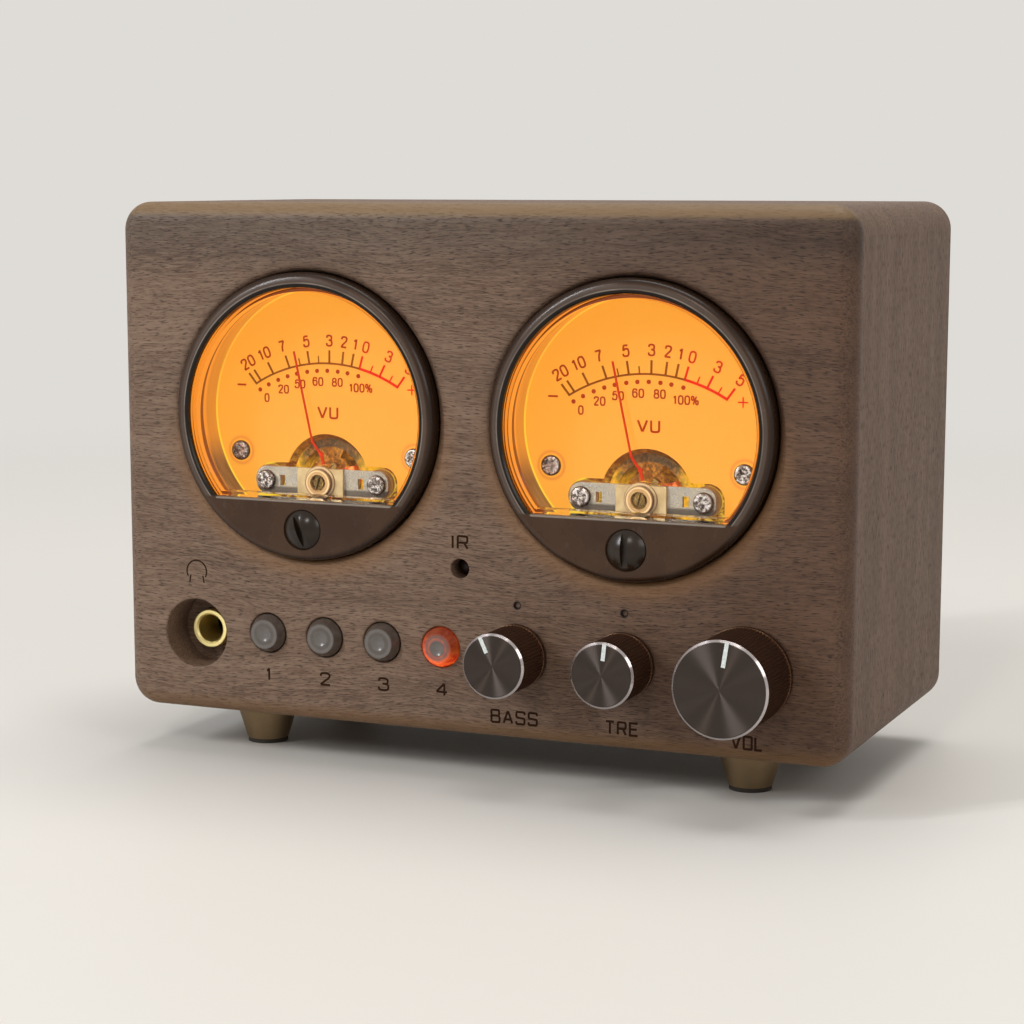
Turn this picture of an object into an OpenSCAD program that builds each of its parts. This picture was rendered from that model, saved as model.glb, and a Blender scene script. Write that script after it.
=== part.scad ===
// Desktop stereo level-meter unit in a walnut cabinet: two round moving-coil meters, a headphone
// socket, four source buttons, bass, treble and volume controls, and phono sockets at the rear.
// Millimetres. The front faces -Y, +X is to the right, +Z is up and the feet stand on z = 0.

/* [Cabinet] */
// Width of the wooden cabinet
cab_w = 175; // [168:1:220]
// Height of the cabinet without its feet
cab_h = 118; // [114:1:150]
// Depth of the cabinet from its front face to its rear edge
cab_d = 84; // [80:1:140]
// Radius of the cabinet's four long corners
corner_r = 6.5; // [5:0.5:9]
// Round-over along the front edge
edge_r = 4.2; // [1:0.1:4.6]
// Round-over along the rear edge
rear_edge_r = 2.5; // [0.5:0.1:3]
// Thickness of the sleeve's four walls
wall = 9; // [7:0.5:10]
// Radius of the sleeve's inner corners
inner_r = 4; // [3:0.5:6]
// Thickness of the front board where its edge shows
lip_t = 5; // [4.7:0.1:7]
// Thickness of the front board with the plug that enters the sleeve
board_t = 12; // [11:0.5:14]
// Gap around the plug
plug_gap = 0.15; // [0.05:0.05:0.4]
// Small round-over at the mouths of the drilled holes
hole_edge_r = 0.5; // [0.2:0.1:0.8]

/* [Feet] */
// Height of one cone foot without its pad
foot_h = 9.2; // [8:0.2:14]
// Radius of a foot where it meets the cabinet
foot_top_r = 7.5; // [6.5:0.1:9]
// Radius of a foot at its lower end
foot_low_r = 4.9; // [4:0.1:6]
// Thickness of the soft pad under a foot
pad_t = 1; // [0.6:0.1:2]
// Distance of the feet from the middle of the cabinet
foot_dx = 60.6; // [45:0.1:70]
// Distance of the feet from the front face and from the rear edge
foot_in = 19.2; // [17:0.1:26]

/* [Meter case] */
// Distance of each meter from the middle of the cabinet
meter_dx = 39; // [36:0.5:44]
// Least height of wood above a bezel
top_margin = 15.4; // [13:0.1:20]
// Least height of a bezel's lower edge above the knobs' axes
row_margin = 18.3; // [16:0.1:24]
// Radius of the window
window_r = 29.2; // [28:0.1:30]
// Width of the bezel's rim round the window
bezel_rim = 3.3; // [3:0.1:4.5]
// How far the bezel's crest stands out of the front face
bezel_out = 2.9; // [2.6:0.1:4]
// How far the bezel is let into the front board
seat_depth = 3; // [2.8:0.1:4]
// Height of the black sill below the window's straight edge, at the middle
sill_h = 10.4; // [9.8:0.1:11]
// How far the window's pane stands in front of the cabinet's face
pane_out = 1.8; // [1.2:0.1:2]
// Thickness of the window's pane
pane_t = 1; // [0.8:0.1:1.5]
// Wall of the skirt behind the pane
skirt_t = 0.9; // [0.7:0.1:1.2]
// How much wider than the window the meter's cup is, on the radius
cup_over = 0.9; // [0.7:0.1:1.6]
// Wall of the cup
cup_wall = 1.3; // [1:0.1:1.4]
// Depth of the cup's outer back face behind the cabinet's front face
cup_depth = 27.6; // [27.4:0.2:32]
// Softened edge of the wood around a bezel
meter_edge_r = 1.5; // [0.6:0.1:2]

/* [Dial and bridge] */
// Depth of the dial's face behind the cabinet's front face
dial_depth = 9.8; // [9.6:0.1:10.2]
// Thickness of the dial
dial_t = 0.6; // [0.4:0.1:0.8]
// Height of the needle's axis above the window's straight edge
pivot_rise = 3.2; // [2.8:0.1:3.8]
// Radius of the round opening in the dial
opening_r = 10.8; // [10.4:0.1:11.4]
// Distance of the dial screws in from the cup's wall
dial_screw_in = 4.6; // [3.8:0.1:5.4]
// Angle of the dial screws below the meter's centre
dial_screw_angle = 22.9; // [20:0.1:26]
// Distance of the bridge screws from the needle's axis
bridge_screw_dx = 14.1; // [13.8:0.1:14.6]
// Width of the metal bridge
bridge_w = 6.2; // [5.6:0.1:6.6]
// Thickness of the metal bridge
bridge_t = 0.9; // [0.7:0.1:1]
// Radius of the posts that carry the bridge
post_r = 3.4; // [3.2:0.1:3.6]

/* [Movement] */
// Radius of the magnet core
core_r = 5.7; // [5.2:0.1:5.8]
// Length of the magnet core and its yoke
core_l = 9.5; // [8:0.1:9.7]
// Wall of the iron yoke
yoke_wall = 1.85; // [1.4:0.05:2.2]
// Radial gap between the core and the yoke
field_gap = 2.05; // [2:0.05:2.2]
// Width of the moving coil along its travel
coil_w = 4; // [3:0.1:4.4]
// Thickness of the coil across the field gap
coil_t = 1; // [0.7:0.05:1]
// Radius of the pivot screws
pivot_screw_r = 1.9; // [1.6:0.1:2]
// Radius of the needle's staff
staff_r = 0.45; // [0.35:0.05:0.5]
// Pitch of the hairspring from turn to turn
hair_pitch = 0.72; // [0.68:0.01:0.8]
// Thickness of the hairspring's ribbon
hair_t = 0.2; // [0.15:0.01:0.25]
// Number of turns of the hairspring
hair_turns = 4.25; // [3.25:0.25:4.25]

/* [Needle] */
// Reach of the needle from its axis to its tip
needle_l = 30.6; // [28:0.1:32]
// Radius of the needle's wire
needle_r = 0.25; // [0.15:0.01:0.3]
// Angle of the needle from upright at rest, negative towards the low end
needle_rest = -14.5; // [-40:0.5:40]

/* [Zero adjuster] */
// Distance of the zero screw in from the bezel's rim
zero_in = 7.1; // [6.6:0.1:7.4]
// Radius of the zero screw's domed head
zero_r = 4.55; // [4:0.05:4.8]
// Height of the zero screw's dome
zero_dome = 2; // [1.6:0.1:2.4]
// Offset of the eccentric pin on the zero screw
zero_throw = 1.3; // [1:0.05:1.4]
// Radius of the eccentric pin
zero_pin_r = 0.6; // [0.4:0.05:0.7]

/* [Knobs and shafts] */
// Height of the knobs' axes above the cabinet's underside
knob_z = 19.3; // [18.8:0.1:21]
// Distance from the last button to the bass knob
bass_pitch = 18.59; // [16:0.01:22]
// Distance from the bass knob to the treble knob
treble_pitch = 25.1; // [22:0.1:28]
// Distance from the treble knob to the volume knob
volume_pitch = 27.6; // [25:0.1:30]
// Distance of the volume knob from the cabinet's right side
volume_side = 22.2; // [20:0.1:26]
// Radius of the bass and treble knobs
tone_knob_r = 7.2; // [7.1:0.05:8]
// Radius of the volume knob
volume_knob_r = 10.5; // [9.5:0.1:11.5]
// Length of the bass and treble knobs
tone_knob_l = 13.2; // [12.4:0.1:15]
// Length of the volume knob
volume_knob_l = 17.5; // [15:0.1:20]
// Gap between a knob and the front board
knob_gap = 0.6; // [0.4:0.1:1]
// Radius of the control shafts
shaft_r = 3; // [2.9:0.05:3.05]
// Angle of the bass mark from upright, negative to the left
bass_rest = -25; // [-150:1:150]
// Angle of the treble mark from upright
treble_rest = 6; // [-150:1:150]
// Angle of the volume mark from upright
volume_rest = 9; // [-150:1:150]

/* [Buttons] */
// Height of the buttons' centres above the cabinet's underside
button_z = 19.8; // [18.8:0.1:21]
// Distance from the headphone socket to the first button
first_pitch = 19; // [17:0.1:22]
// Distance from one button to the next
button_pitch = 14.57; // [13:0.01:16]
// Radius of a button at the front face
button_r = 4.4; // [4:0.05:4.4]
// Radius of a button's flat end
button_face_r = 3.4; // [2.8:0.1:3.8]
// How far a button stands out of the front face
button_out = 2; // [1.6:0.1:3]
// Gap around a button in its hole
button_gap = 0.2; // [0.1:0.05:0.3]
// Travel of a button
button_travel = 0.8; // [0.4:0.1:0.9]

/* [Headphone socket] */
// Distance of the headphone socket from the cabinet's left side
jack_side = 18.8; // [18:0.1:22]
// Height of the headphone socket above the cabinet's underside
jack_z = 18.4; // [18:0.1:20]
// Radius of the round recess in the wood
recess_r = 8; // [7:0.1:8.4]
// Depth of the recess
recess_depth = 9.5; // [8:0.1:10]
// Outer radius of the socket's bush
bush_r = 4.53; // [4.3:0.01:4.6]
// Radius of the bore that takes a 6.35 mm plug
plug_r = 3.25; // [3.2:0.01:3.4]
// Depth of the bush's end behind the front face
bush_depth = 6.3; // [5:0.1:7.5]

/* [Remote receiver] */
// Place of the receiver hole from the middle of the cabinet
ir_x = -1.2; // [-2:0.1:1]
// Height of the receiver hole above the cabinet's underside
ir_z = 37.8; // [37:0.1:39]
// Radius of the receiver hole
ir_r = 2.2; // [1.8:0.1:2.6]

/* [Rear] */
// How far the rear panel lies inside the cabinet's rear edge
rear_in = 2; // [1:0.1:3]
// Thickness of the rear panel
rear_t = 2; // [1.2:0.1:3]
// Width of the ledge that carries the rear panel
ledge_w = 4; // [3:0.1:4.5]
// Radius of a phono socket's outer barrel
phono_r = 4.15; // [4:0.05:4.3]
// Length of a phono barrel behind the rear panel
phono_l = 9.5; // [8:0.1:10]
// Place of the middle phono column
phono_x = -12; // [-15:0.5:-8]
// Distance from one phono column to the next
phono_dx = 20; // [18:0.5:22]
// Height of the lower phono row above the cabinet's underside
phono_z = 27; // [25:0.5:32]
// Distance between the two phono rows
phono_dz = 14; // [13:0.5:18]
// Distance of the power socket from the cabinet's side
power_side = 29.5; // [24:0.5:36]

/* [Boards] */
// Thickness of the circuit boards
pcb_t = 1.6; // [1.2:0.1:2]
// Height of the spacers under the main board
spacer_h = 5; // [4:0.5:6]
// Gap between the front board's plug and the control board
pcb_gap = 1; // [0.6:0.1:1.6]

/* [Hidden] */
$fn = 64;
slip = 0.05;      // radial running clearance of what turns
fit = 0.03;       // radial clearance of what is pressed or screwed together
eps = 0.01;       // cuts run past a face by this much
past = 1;         // cutters reach this far out of what they cut
room = 0.3;       // free room between pieces that only pass each other
base_z = foot_h + pad_t;
knob_reach = volume_knob_l + knob_gap;
rear_face = cab_d - rear_in;
phono_end = rear_face + phono_l;
front_y = -(phono_end - knob_reach) / 2;

// Meter outline, and its height: what the cabinet's height leaves over is shared above and below
bezel_r = window_r + bezel_rim;
cup_r = window_r + cup_over;
chord_drop = window_r - sill_h;
pivot_drop = chord_drop - pivot_rise;
zero_drop = bezel_r - zero_in;
height_left = cab_h - knob_z - row_margin - 2 * bezel_r - top_margin;
meter_z = knob_z + row_margin + bezel_r + height_left / 2;

// Row of controls from the left side to the right: what the width leaves over is shared by its gaps
button_count = 4;
row_l = first_pitch + (button_count - 1) * button_pitch + bass_pitch + treble_pitch + volume_pitch;
row_spread = (cab_w - jack_side - row_l - volume_side) / (button_count + 3);
jack_x = jack_side - cab_w / 2;
button_step = button_pitch + row_spread;
button_x = jack_x + first_pitch + row_spread;
bass_x = button_x + (button_count - 1) * button_step + bass_pitch + row_spread;
treble_x = bass_x + treble_pitch + row_spread;
volume_x = treble_x + volume_pitch + row_spread;

// Meter depths, all measured back from the cabinet's front face
face_back = -pane_out + pane_t + 0.4;
skirt_end = seat_depth - 0.5;
cup_inner_r = cup_r - cup_wall;
dial_screw_r = cup_inner_r - dial_screw_in;
dial_screw_dx = dial_screw_r * cos(dial_screw_angle);
dial_screw_drop = dial_screw_r * sin(dial_screw_angle);
cup_back_t = 1.6;
cup_floor = cup_depth - cup_back_t;
window_gap = 0.12;
meter_gap = 0.2;
dial_gap = 0.3;
dial_back = dial_depth + dial_t;
bridge_front = dial_depth - 2.8;
bridge_back = bridge_front + bridge_t;
bridge_end = 2.8;
bush_plate_t = 0.7;
bush_nose = 1.9;
bush_plate_w = 11.6;
bush_nose_r = 3.15;
bush_step = 0.9;
bush_step_r = 3.8;
bush_tail_r = pivot_screw_r + 0.5;
bush_tail_end = bridge_back + 1;
arm_z = bridge_back + 0.15;
arm_t = 0.4;
arm_ring = 0.95;
hair_z = bush_tail_end + 0.15;
hair_w = 0.45;
hair_r = 1.35;
hair_end_r = hair_r + hair_pitch * hair_turns;
hub_z = hair_z + hair_w + 0.2;
hub_t = 0.4;
hub_r = 1.7;
collet_r = 1;
collet_z = hair_z - 0.05;
needle_z = hub_z + hub_t / 2;
needle_front_z = dial_depth - 1.1;
coil_z = hub_z + hub_t + 0.35;
coil_bar = 1;
core_z = coil_z + coil_bar + 0.55;
core_end = core_z + core_l;
coil_end = core_end + 0.6 + coil_bar;
coil_in = core_r + 0.6;
coil_out = coil_in + coil_t;
yoke_in = core_r + field_gap;
yoke_out = yoke_in + yoke_wall;
pivot_tip = 0.3;
cone_depth = 0.5;
front_cone_z = bush_tail_end - 0.1;
rear_cone_z = coil_end + 1.1;
pivot_screw_l = 3.3;
small_head_r = 2.3;
small_head_h = 0.95;
small_shank_r = 1;
small_shank_l = 5;
bridge_slot_in = 4.1;
bridge_slot = [1.4, 2.4];
yoke_seat_gap = 0.3;
zero_shank_r = 1.95;
zero_collar_r = 2.9;
sight_edge = 0.3;
chord_half = sqrt(window_r * window_r - chord_drop * chord_drop);
zero_seat = 0.3;
zero_head_z = zero_seat - bezel_out;
zero_head_gap = 0.15;
zero_pin_end = arm_z + arm_t + 0.3;
zero_reach = zero_drop - pivot_drop;

// Case screws, shared by the feet, the rear panel and the main board
screw_r = 1.5;
screw_l = 8;
screw_head_r = 2.8;
screw_head_h = 1.9;
pilot_r = screw_r + fit;
clear_r = screw_r + 0.1;
foot_flange = 4.2;
foot_rim = 0.8;

// Controls
nut_af = 10;
nut_t = 2;
bush_thread_r = shaft_r + 0.45;
pot_front = 3;
pcb_front = board_t + pcb_gap;
pcb_back = pcb_front + pcb_t;
shaft_root = pcb_front - 4;
cavity_r = tone_knob_r - 1;
cavity_depth = nut_t + 0.8;
knob_bore_l = 7.6;
shaft_end = knob_gap + cavity_depth + knob_bore_l - 0.2;
shaft_flat = 1.5;
tone_body = [11, 12];
volume_body_r = 8.3;
neck_gap = 0.15;
pocket_gap = 0.4;
pip_rise = 11.2;
pip_r = 0.75;
pip_depth = 0.5;
button_flange_r = button_r + 0.75;
button_flange_z = 6.3;
button_flange_t = 0.8;
button_stem_r = 1.7;
button_dimple_r = 3.8;
button_dimple = 0.35;
switch_w = 6.2;
switch_front = pcb_front - 4;
switch_stem = switch_front + 1.2;
switch_well = switch_stem + button_travel + room;
ir_body = [6.4, 7.4, 4];
ir_lens_out = 1.5;
ir_leg = 0.5;
jack_w = 16;
jack_l = 27;
jack_chamber_r = plug_r + 0.35;
jack_end_t = 2;
bush_seat = 1.4;

// Inside of the sleeve and the rear
in_w = cab_w - 2 * wall;
in_h = cab_h - 2 * wall;
rear_gap = 0.2;
rear_w = in_w + 2 * ledge_w - 2 * rear_gap;
rear_h = in_h + 2 * ledge_w - 2 * rear_gap;
rear_r = inner_r + 1;
rear_screw_in = wall + 0.7;
main_x = in_w / 2 - 5;
spacer_in = 5;
spacer_wall = 1.5;
main_z = wall + spacer_h;
main_front = pcb_back + jack_l + 2;
main_rear = rear_face - rear_t - room;
socket_d = 12;
socket_w = 16;
socket_flange_t = 0.8;
socket_front = rear_face - rear_t - socket_flange_t - socket_d;
phono_wall = 0.7;
phono_collar = 0.6;
phono_collar_out = 0.5;
phono_relief = [0.2, 0.4];
part_y = (main_front + socket_front) / 2;
power_body = [10, 12, 13];
power_z = main_z + pcb_t + power_body[1] / 2;
power_x = cab_w / 2 - power_side;
power_nose_r = power_body[0] / 2 - 0.6;
power_plug_r = 2.8;
power_pin_r = 1;
power_depth = 8;

// Lamp board: a strip with three lamps, above the movement
lamp_board_size = [26, 7, 1];
lamp_size = [3.5, 2.8, 1.9];
lamp_pitch = 8;
lamp_rise = 9.5;

// Four terminals across the back of each cup
terminal_r = 0.75;
terminal_head_r = 1.25;
terminal_l = 5.4;
terminal_pitch = 6;
terminal_drop = 1.5;

// Hairspring ribbon
hair_steps = 24 * hair_turns;
hair_end = 35;
hair_start = 90 - hair_end - 360 * hair_turns;

// Colours as the photo shows them
walnut = "#6b5143";
bezel_black = "#2a211d";
amber = "#ffa63c";
zinc = "#a8a59c";
brass = "#b79a5b";
gold = "#d9b45a";
steel = "#8a8a8a";
anodised = "#33363a";
milky = "#8f9095";

// ---------------------------------------------------------------- placing

// Places a piece drawn as seen from the front: x right, y up, z back from the front face
module face_on(x = 0, z = 0, depth = 0) {
    translate([x, front_y + depth, base_z + z])
        rotate([90, 0, 0])
            mirror([0, 0, 1])
                children();
}

// Places a piece in one meter, side -1 on the left and 1 on the right
module in_meter(side) {
    face_on(side * meter_dx, meter_z) children();
}

// Places a piece on the needle's axis of one meter
module on_axis(side, turn = 0) {
    face_on(side * meter_dx, meter_z - pivot_drop) rotate([0, 0, -turn]) children();
}

// Repeats a piece at both ends of a span
module both_ends(dx, dy = 0) {
    for (s = [-1, 1]) translate([s * dx, dy, 0]) children();
}

// ---------------------------------------------------------------- shared shapes

// Rectangle with round corners about the origin
module round_rect(w, h, r) {
    square([w - 2 * r, h], center = true);
    square([w, h - 2 * r], center = true);
    for (sx = [-1, 1], sy = [-1, 1])
        translate([sx * (w / 2 - r), sy * (h / 2 - r)])
            circle(r);
}

// Section through a board's edge, rounded by e at its foremost corner
module edge_section(reach, t, e) {
    intersection() {
        square([reach, t]);
        union() {
            translate([0, e]) square([reach, t - e]);
            square([reach - e, t]);
            translate([reach - e, e]) circle(e);
        }
    }
}

// Straight bar with that section, from the corner axis out to the board's edge
module edge_bar(l, reach, t, e) {
    translate([0, l / 2, 0])
        rotate([90, 0, 0])
            linear_extrude(l)
                edge_section(reach, t, e);
}

// Board with round corners whose outline is rounded over by e at z = 0
module eased_board(w, h, t, r, e) {
    linear_extrude(t) square([w - 2 * r, h - 2 * r], center = true);
    for (sx = [-1, 1], sy = [-1, 1])
        translate([sx * (w / 2 - r), sy * (h / 2 - r), 0])
            rotate_extrude()
                edge_section(r, t, e);
    for (a = [0, 180]) rotate([0, 0, a]) {
        translate([w / 2 - r, 0, 0]) edge_bar(h - 2 * r, r, t, e);
        rotate([0, 0, 90]) translate([h / 2 - r, 0, 0]) edge_bar(w - 2 * r, r, t, e);
    }
}

// Tube along z
module tube(r_out, r_in, l) {
    difference() {
        cylinder(r = r_out, h = l);
        translate([0, 0, -eps]) cylinder(r = r_in, h = l + 2 * eps);
    }
}

// Cutter for a round hole whose mouth at z = 0 is rounded over by e
module eased_hole(r, l, e) {
    translate([0, 0, -eps]) cylinder(r = r, h = l + eps);
    rotate_extrude()
        translate([r - eps, -eps])
            difference() {
                square([e + eps, e + eps]);
                translate([e + eps, e + eps]) circle(e);
            }
}

// Round wire from point a to point b
module wire(a, b, r) {
    d = b - a;
    l = norm(d);
    translate(a)
        rotate([0, acos(d[2] / l), atan2(d[1], d[0])])
            cylinder(r = r, h = l);
}

// Crossed slots for a driver, cut into a face at z = 0 from the front
module cross_recess(reach, w, deep) {
    for (a = [0, 90])
        rotate([0, 0, a])
            translate([-reach, -w / 2, -1])
                cube([2 * reach, w, deep + 1]);
}

// Pan-head screw: the head lies before z = 0 and the shank runs back
module pan_screw(head_r, head_h, shank_r, shank_l) {
    difference() {
        union() {
            translate([0, 0, -head_h]) rotate_extrude() edge_section(head_r, head_h, head_h * 0.6);
            cylinder(r = shank_r, h = shank_l);
        }
        translate([0, 0, -head_h]) cross_recess(head_r * 0.66, head_r * 0.32, head_h * 0.7);
    }
}

module case_screw() {
    pan_screw(screw_head_r, screw_head_h, screw_r, screw_l);
}

module meter_screw() {
    pan_screw(small_head_r, small_head_h, small_shank_r, small_shank_l);
}

// Outline of the window: a circle with its foot cut straight
module window_outline(r, drop) {
    difference() {
        circle(r);
        translate([-r - 1, -drop - 2 * r]) square([2 * r + 2, 2 * r]);
    }
}

// ---------------------------------------------------------------- cabinet

// Foot places, front and rear
module at_feet() {
    for (x = [-foot_dx, foot_dx], d = [foot_in, cab_d - foot_in])
        translate([x, front_y + d, 0])
            children();
}

// Places of the main board's four screws
module at_spacers() {
    for (x = [-main_x + spacer_in, main_x - spacer_in], d = [main_front + spacer_in, main_rear - spacer_in])
        translate([x, front_y + d, 0])
            children();
}

// Places of the rear panel's four screws, z pointing into the cabinet
module at_rear_screws() {
    for (sx = [-1, 1], z = [rear_screw_in, cab_h - rear_screw_in])
        face_on(sx * (cab_w / 2 - rear_screw_in), z, rear_face)
            mirror([0, 0, 1])
                children();
}

// Cutters in the front board for one meter
module meter_cutter() {
    eased_hole(bezel_r + meter_gap, seat_depth, meter_edge_r);
    cylinder(r = cup_r + meter_gap, h = board_t + past);
}

// Cutter for a control's threaded neck
module neck_hole() {
    translate([0, 0, -past]) cylinder(r = bush_thread_r + neck_gap, h = board_t + 2 * past);
}

// Cutter for the pocket in the board's rear that takes a body, from a depth onwards
module pocket(body, depth) {
    w = body[0] + 2 * pocket_gap;
    h = body[1] + 2 * pocket_gap;
    translate([-w / 2, -h / 2, depth]) cube([w, h, board_t]);
}

module front_panel() {
    color(walnut) face_on() difference() {
        translate([0, cab_h / 2, 0]) {
            eased_board(cab_w, cab_h, lip_t, corner_r, edge_r);
            linear_extrude(board_t)
                round_rect(in_w - 2 * plug_gap, in_h - 2 * plug_gap, inner_r - plug_gap);
        }
        both_ends(meter_dx, meter_z) meter_cutter();
        translate([jack_x, jack_z, 0]) {
            eased_hole(recess_r, recess_depth, hole_edge_r);
            cylinder(r = bush_r + neck_gap, h = board_t + past);
        }
        at_buttons() {
            eased_hole(button_r + button_gap, board_t + past, hole_edge_r);
            translate([0, 0, button_flange_z - room]) cylinder(r = button_flange_r + room, h = board_t);
        }
        for (x = [bass_x, treble_x]) translate([x, knob_z, 0]) {
            translate([0, pip_rise, -past]) cylinder(r = pip_r, h = pip_depth + past);
            neck_hole();
            pocket(tone_body, pot_front);
        }
        translate([volume_x, knob_z, 0]) {
            neck_hole();
            translate([0, 0, pot_front]) cylinder(r = volume_body_r + pocket_gap, h = board_t);
        }
        translate([ir_x, ir_z, 0]) {
            eased_hole(ir_r, board_t + past, hole_edge_r / 2);
            pocket(ir_body, board_t / 2);
        }
    }
}

module cabinet_shell() {
    color(walnut) difference() {
        face_on() translate([0, cab_h / 2, 0]) difference() {
            translate([0, 0, cab_d])
                mirror([0, 0, 1])
                    eased_board(cab_w, cab_h, cab_d - lip_t, corner_r, rear_edge_r);
            translate([0, 0, lip_t - past])
                linear_extrude(cab_d)
                    round_rect(in_w, in_h, inner_r);
            translate([0, 0, rear_face - rear_t])
                linear_extrude(cab_d)
                    round_rect(rear_w + 2 * rear_gap, rear_h + 2 * rear_gap, rear_r + rear_gap);
        }
        at_feet()
            translate([0, 0, base_z - past])
                cylinder(r = pilot_r, h = screw_l - foot_flange + past + room);
        at_spacers()
            translate([0, 0, base_z + main_z + pcb_t - screw_l - room])
                cylinder(r = pilot_r, h = screw_l);
        at_rear_screws() cylinder(r = pilot_r, h = screw_l + room);
    }
}

module rear_panel() {
    color("#1c1c1e") difference() {
        face_on(0, cab_h / 2, rear_face - rear_t)
            linear_extrude(rear_t)
                round_rect(rear_w, rear_h, rear_r);
        at_rear_screws() translate([0, 0, -past]) cylinder(r = clear_r, h = rear_t + 2 * past);
        at_phonos()
            translate([0, 0, -past])
                cylinder(r = phono_r + phono_collar + neck_gap, h = rear_t + 2 * past);
        face_on(power_x, power_z, rear_face - rear_t - past)
            cylinder(r = power_nose_r + neck_gap, h = rear_t + 2 * past);
    }
}

module case_screws() {
    color(steel) {
        at_feet() translate([0, 0, base_z - foot_flange]) case_screw();
        at_spacers() translate([0, 0, base_z + main_z + pcb_t]) mirror([0, 0, 1]) case_screw();
        at_rear_screws() case_screw();
    }
}

module feet() {
    color(brass) at_feet() translate([0, 0, pad_t]) difference() {
        union() {
            cylinder(r1 = foot_low_r, r2 = foot_top_r, h = foot_h - foot_rim);
            translate([0, 0, foot_h - foot_rim]) cylinder(r = foot_top_r, h = foot_rim);
        }
        translate([0, 0, -past]) cylinder(r = clear_r, h = foot_h + 2 * past);
        translate([0, 0, -past]) cylinder(r = screw_head_r + room, h = foot_h - foot_flange + past);
    }
}

module foot_pads() {
    color("#151515") at_feet() tube(foot_low_r - 0.15, screw_head_r - 0.8, pad_t);
}

// ---------------------------------------------------------------- meter case

// Section of the bezel ring from the window out to its rim, with a small bead inside the crest
module bezel_section() {
    crest = 1.9;
    difference() {
        translate([window_r, -bezel_out]) square([bezel_rim, seat_depth + bezel_out]);
        translate([bezel_r - crest, -bezel_out - past])
            difference() {
                square([crest + past, crest + past]);
                translate([0, crest + past]) circle(crest);
            }
        translate([window_r - past, skirt_end]) square([cup_over + fit + past, seat_depth]);
        translate([window_r, -bezel_out]) rotate(45) square(sight_edge * sqrt(2), center = true);
    }
}

module bezel(side) {
    color(bezel_black) in_meter(side) difference() {
        union() {
            rotate_extrude() bezel_section();
            translate([0, 0, -bezel_out])
                linear_extrude(bezel_out + face_back)
                    difference() {
                        circle(window_r + 0.5);
                        window_outline(window_r + past, chord_drop);
                    }
        }
        translate([0, -chord_drop, -bezel_out])
            rotate([45, 0, 0])
                cube([2 * chord_half, sight_edge * sqrt(2), sight_edge * sqrt(2)], center = true);
        translate([0, -zero_drop, -bezel_out - past]) {
            cylinder(r = zero_r + zero_head_gap, h = zero_seat + past);
            cylinder(r = zero_shank_r + slip, h = 3 * bezel_out);
        }
    }
}

module window(side) {
    r = window_r - window_gap;
    drop = chord_drop - window_gap;
    color("lightyellow", 0.35) in_meter(side) {
        translate([0, 0, -pane_out]) linear_extrude(pane_t) window_outline(r, drop);
        translate([0, 0, -pane_out + pane_t])
            linear_extrude(skirt_end + pane_out - pane_t)
                difference() {
                    window_outline(r, drop);
                    window_outline(r - skirt_t, drop - skirt_t);
                }
    }
}

// Cup: wall, floor, bosses for the dial's screws and ringed posts for the bridge
module meter_cup(side) {
    seat = cup_floor - core_end;
    ring_pitch = 1.3;
    ring_depth = 0.5;
    color(amber, 0.6) in_meter(side) difference() {
        union() {
            translate([0, 0, skirt_end]) tube(cup_r, cup_inner_r, cup_depth - skirt_end);
            translate([0, 0, cup_floor]) cylinder(r = cup_r - cup_wall / 2, h = cup_back_t);
            both_ends(dial_screw_dx, -dial_screw_drop)
                translate([0, 0, dial_back])
                    cylinder(r = small_head_r + 0.4, h = cup_floor - dial_back + eps);
            both_ends(bridge_screw_dx, -pivot_drop)
                translate([0, 0, bridge_back]) cylinder(r = post_r, h = cup_floor - bridge_back + eps);
            translate([0, -pivot_drop, core_end]) tube(yoke_out, yoke_in + yoke_seat_gap, seat + eps);
            translate([0, -pivot_drop, rear_cone_z + room])
                cylinder(r = pivot_screw_r + 0.8, h = cup_floor - rear_cone_z);
        }
        both_ends(dial_screw_dx, -dial_screw_drop)
            translate([0, 0, dial_back - past])
                cylinder(r = small_shank_r + fit, h = small_shank_l + past + room);
        both_ends(bridge_screw_dx, -pivot_drop)
            translate([0, 0, bridge_back - past])
                cylinder(r = small_shank_r + fit, h = small_shank_l + past + room);
        both_ends(bridge_screw_dx, -pivot_drop)
            for (i = [0:2])
                translate([0, 0, bridge_back + ring_pitch * (i + 0.5)])
                    tube(post_r + past, post_r - ring_depth, ring_pitch / 2);
        translate([0, -pivot_drop, rear_cone_z]) cylinder(r = pivot_screw_r + fit, h = cup_depth);
        at_terminals() translate([0, 0, cup_floor - past]) cylinder(r = terminal_r + fit, h = cup_depth);
    }
}

// Dial: its lower edge lies below the sill, with a round opening and a broad notch for the bridge
module dial(side) {
    below_sill = 4.2;
    notch_h = post_r + 0.4;
    notch_w = 2 * (bridge_screw_dx + notch_h);
    color(amber) in_meter(side) translate([0, 0, dial_depth])
        linear_extrude(dial_t) difference() {
            window_outline(cup_inner_r - dial_gap, chord_drop + below_sill);
            translate([0, -pivot_drop]) circle(opening_r);
            translate([0, -pivot_drop]) round_rect(notch_w, 2 * notch_h, notch_h - 0.2);
            translate([-notch_w / 2, -2 * cup_r]) square([notch_w, 2 * cup_r - pivot_drop]);
            both_ends(dial_screw_dx, -dial_screw_drop) circle(small_shank_r + 0.1);
        }
}

module lamp_board(side) {
    board = lamp_board_size;
    lamp_front = cup_floor - board[2] - lamp_size[2];
    color("white") in_meter(side) translate([0, lamp_rise, 0]) {
        translate([-board[0] / 2, -board[1] / 2, cup_floor - board[2]]) cube(board);
        for (i = [-1:1])
            translate([i * lamp_pitch - lamp_size[0] / 2, -lamp_size[1] / 2, lamp_front])
                cube([lamp_size[0], lamp_size[1], lamp_size[2] + eps]);
    }
}

// ---------------------------------------------------------------- movement

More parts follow.
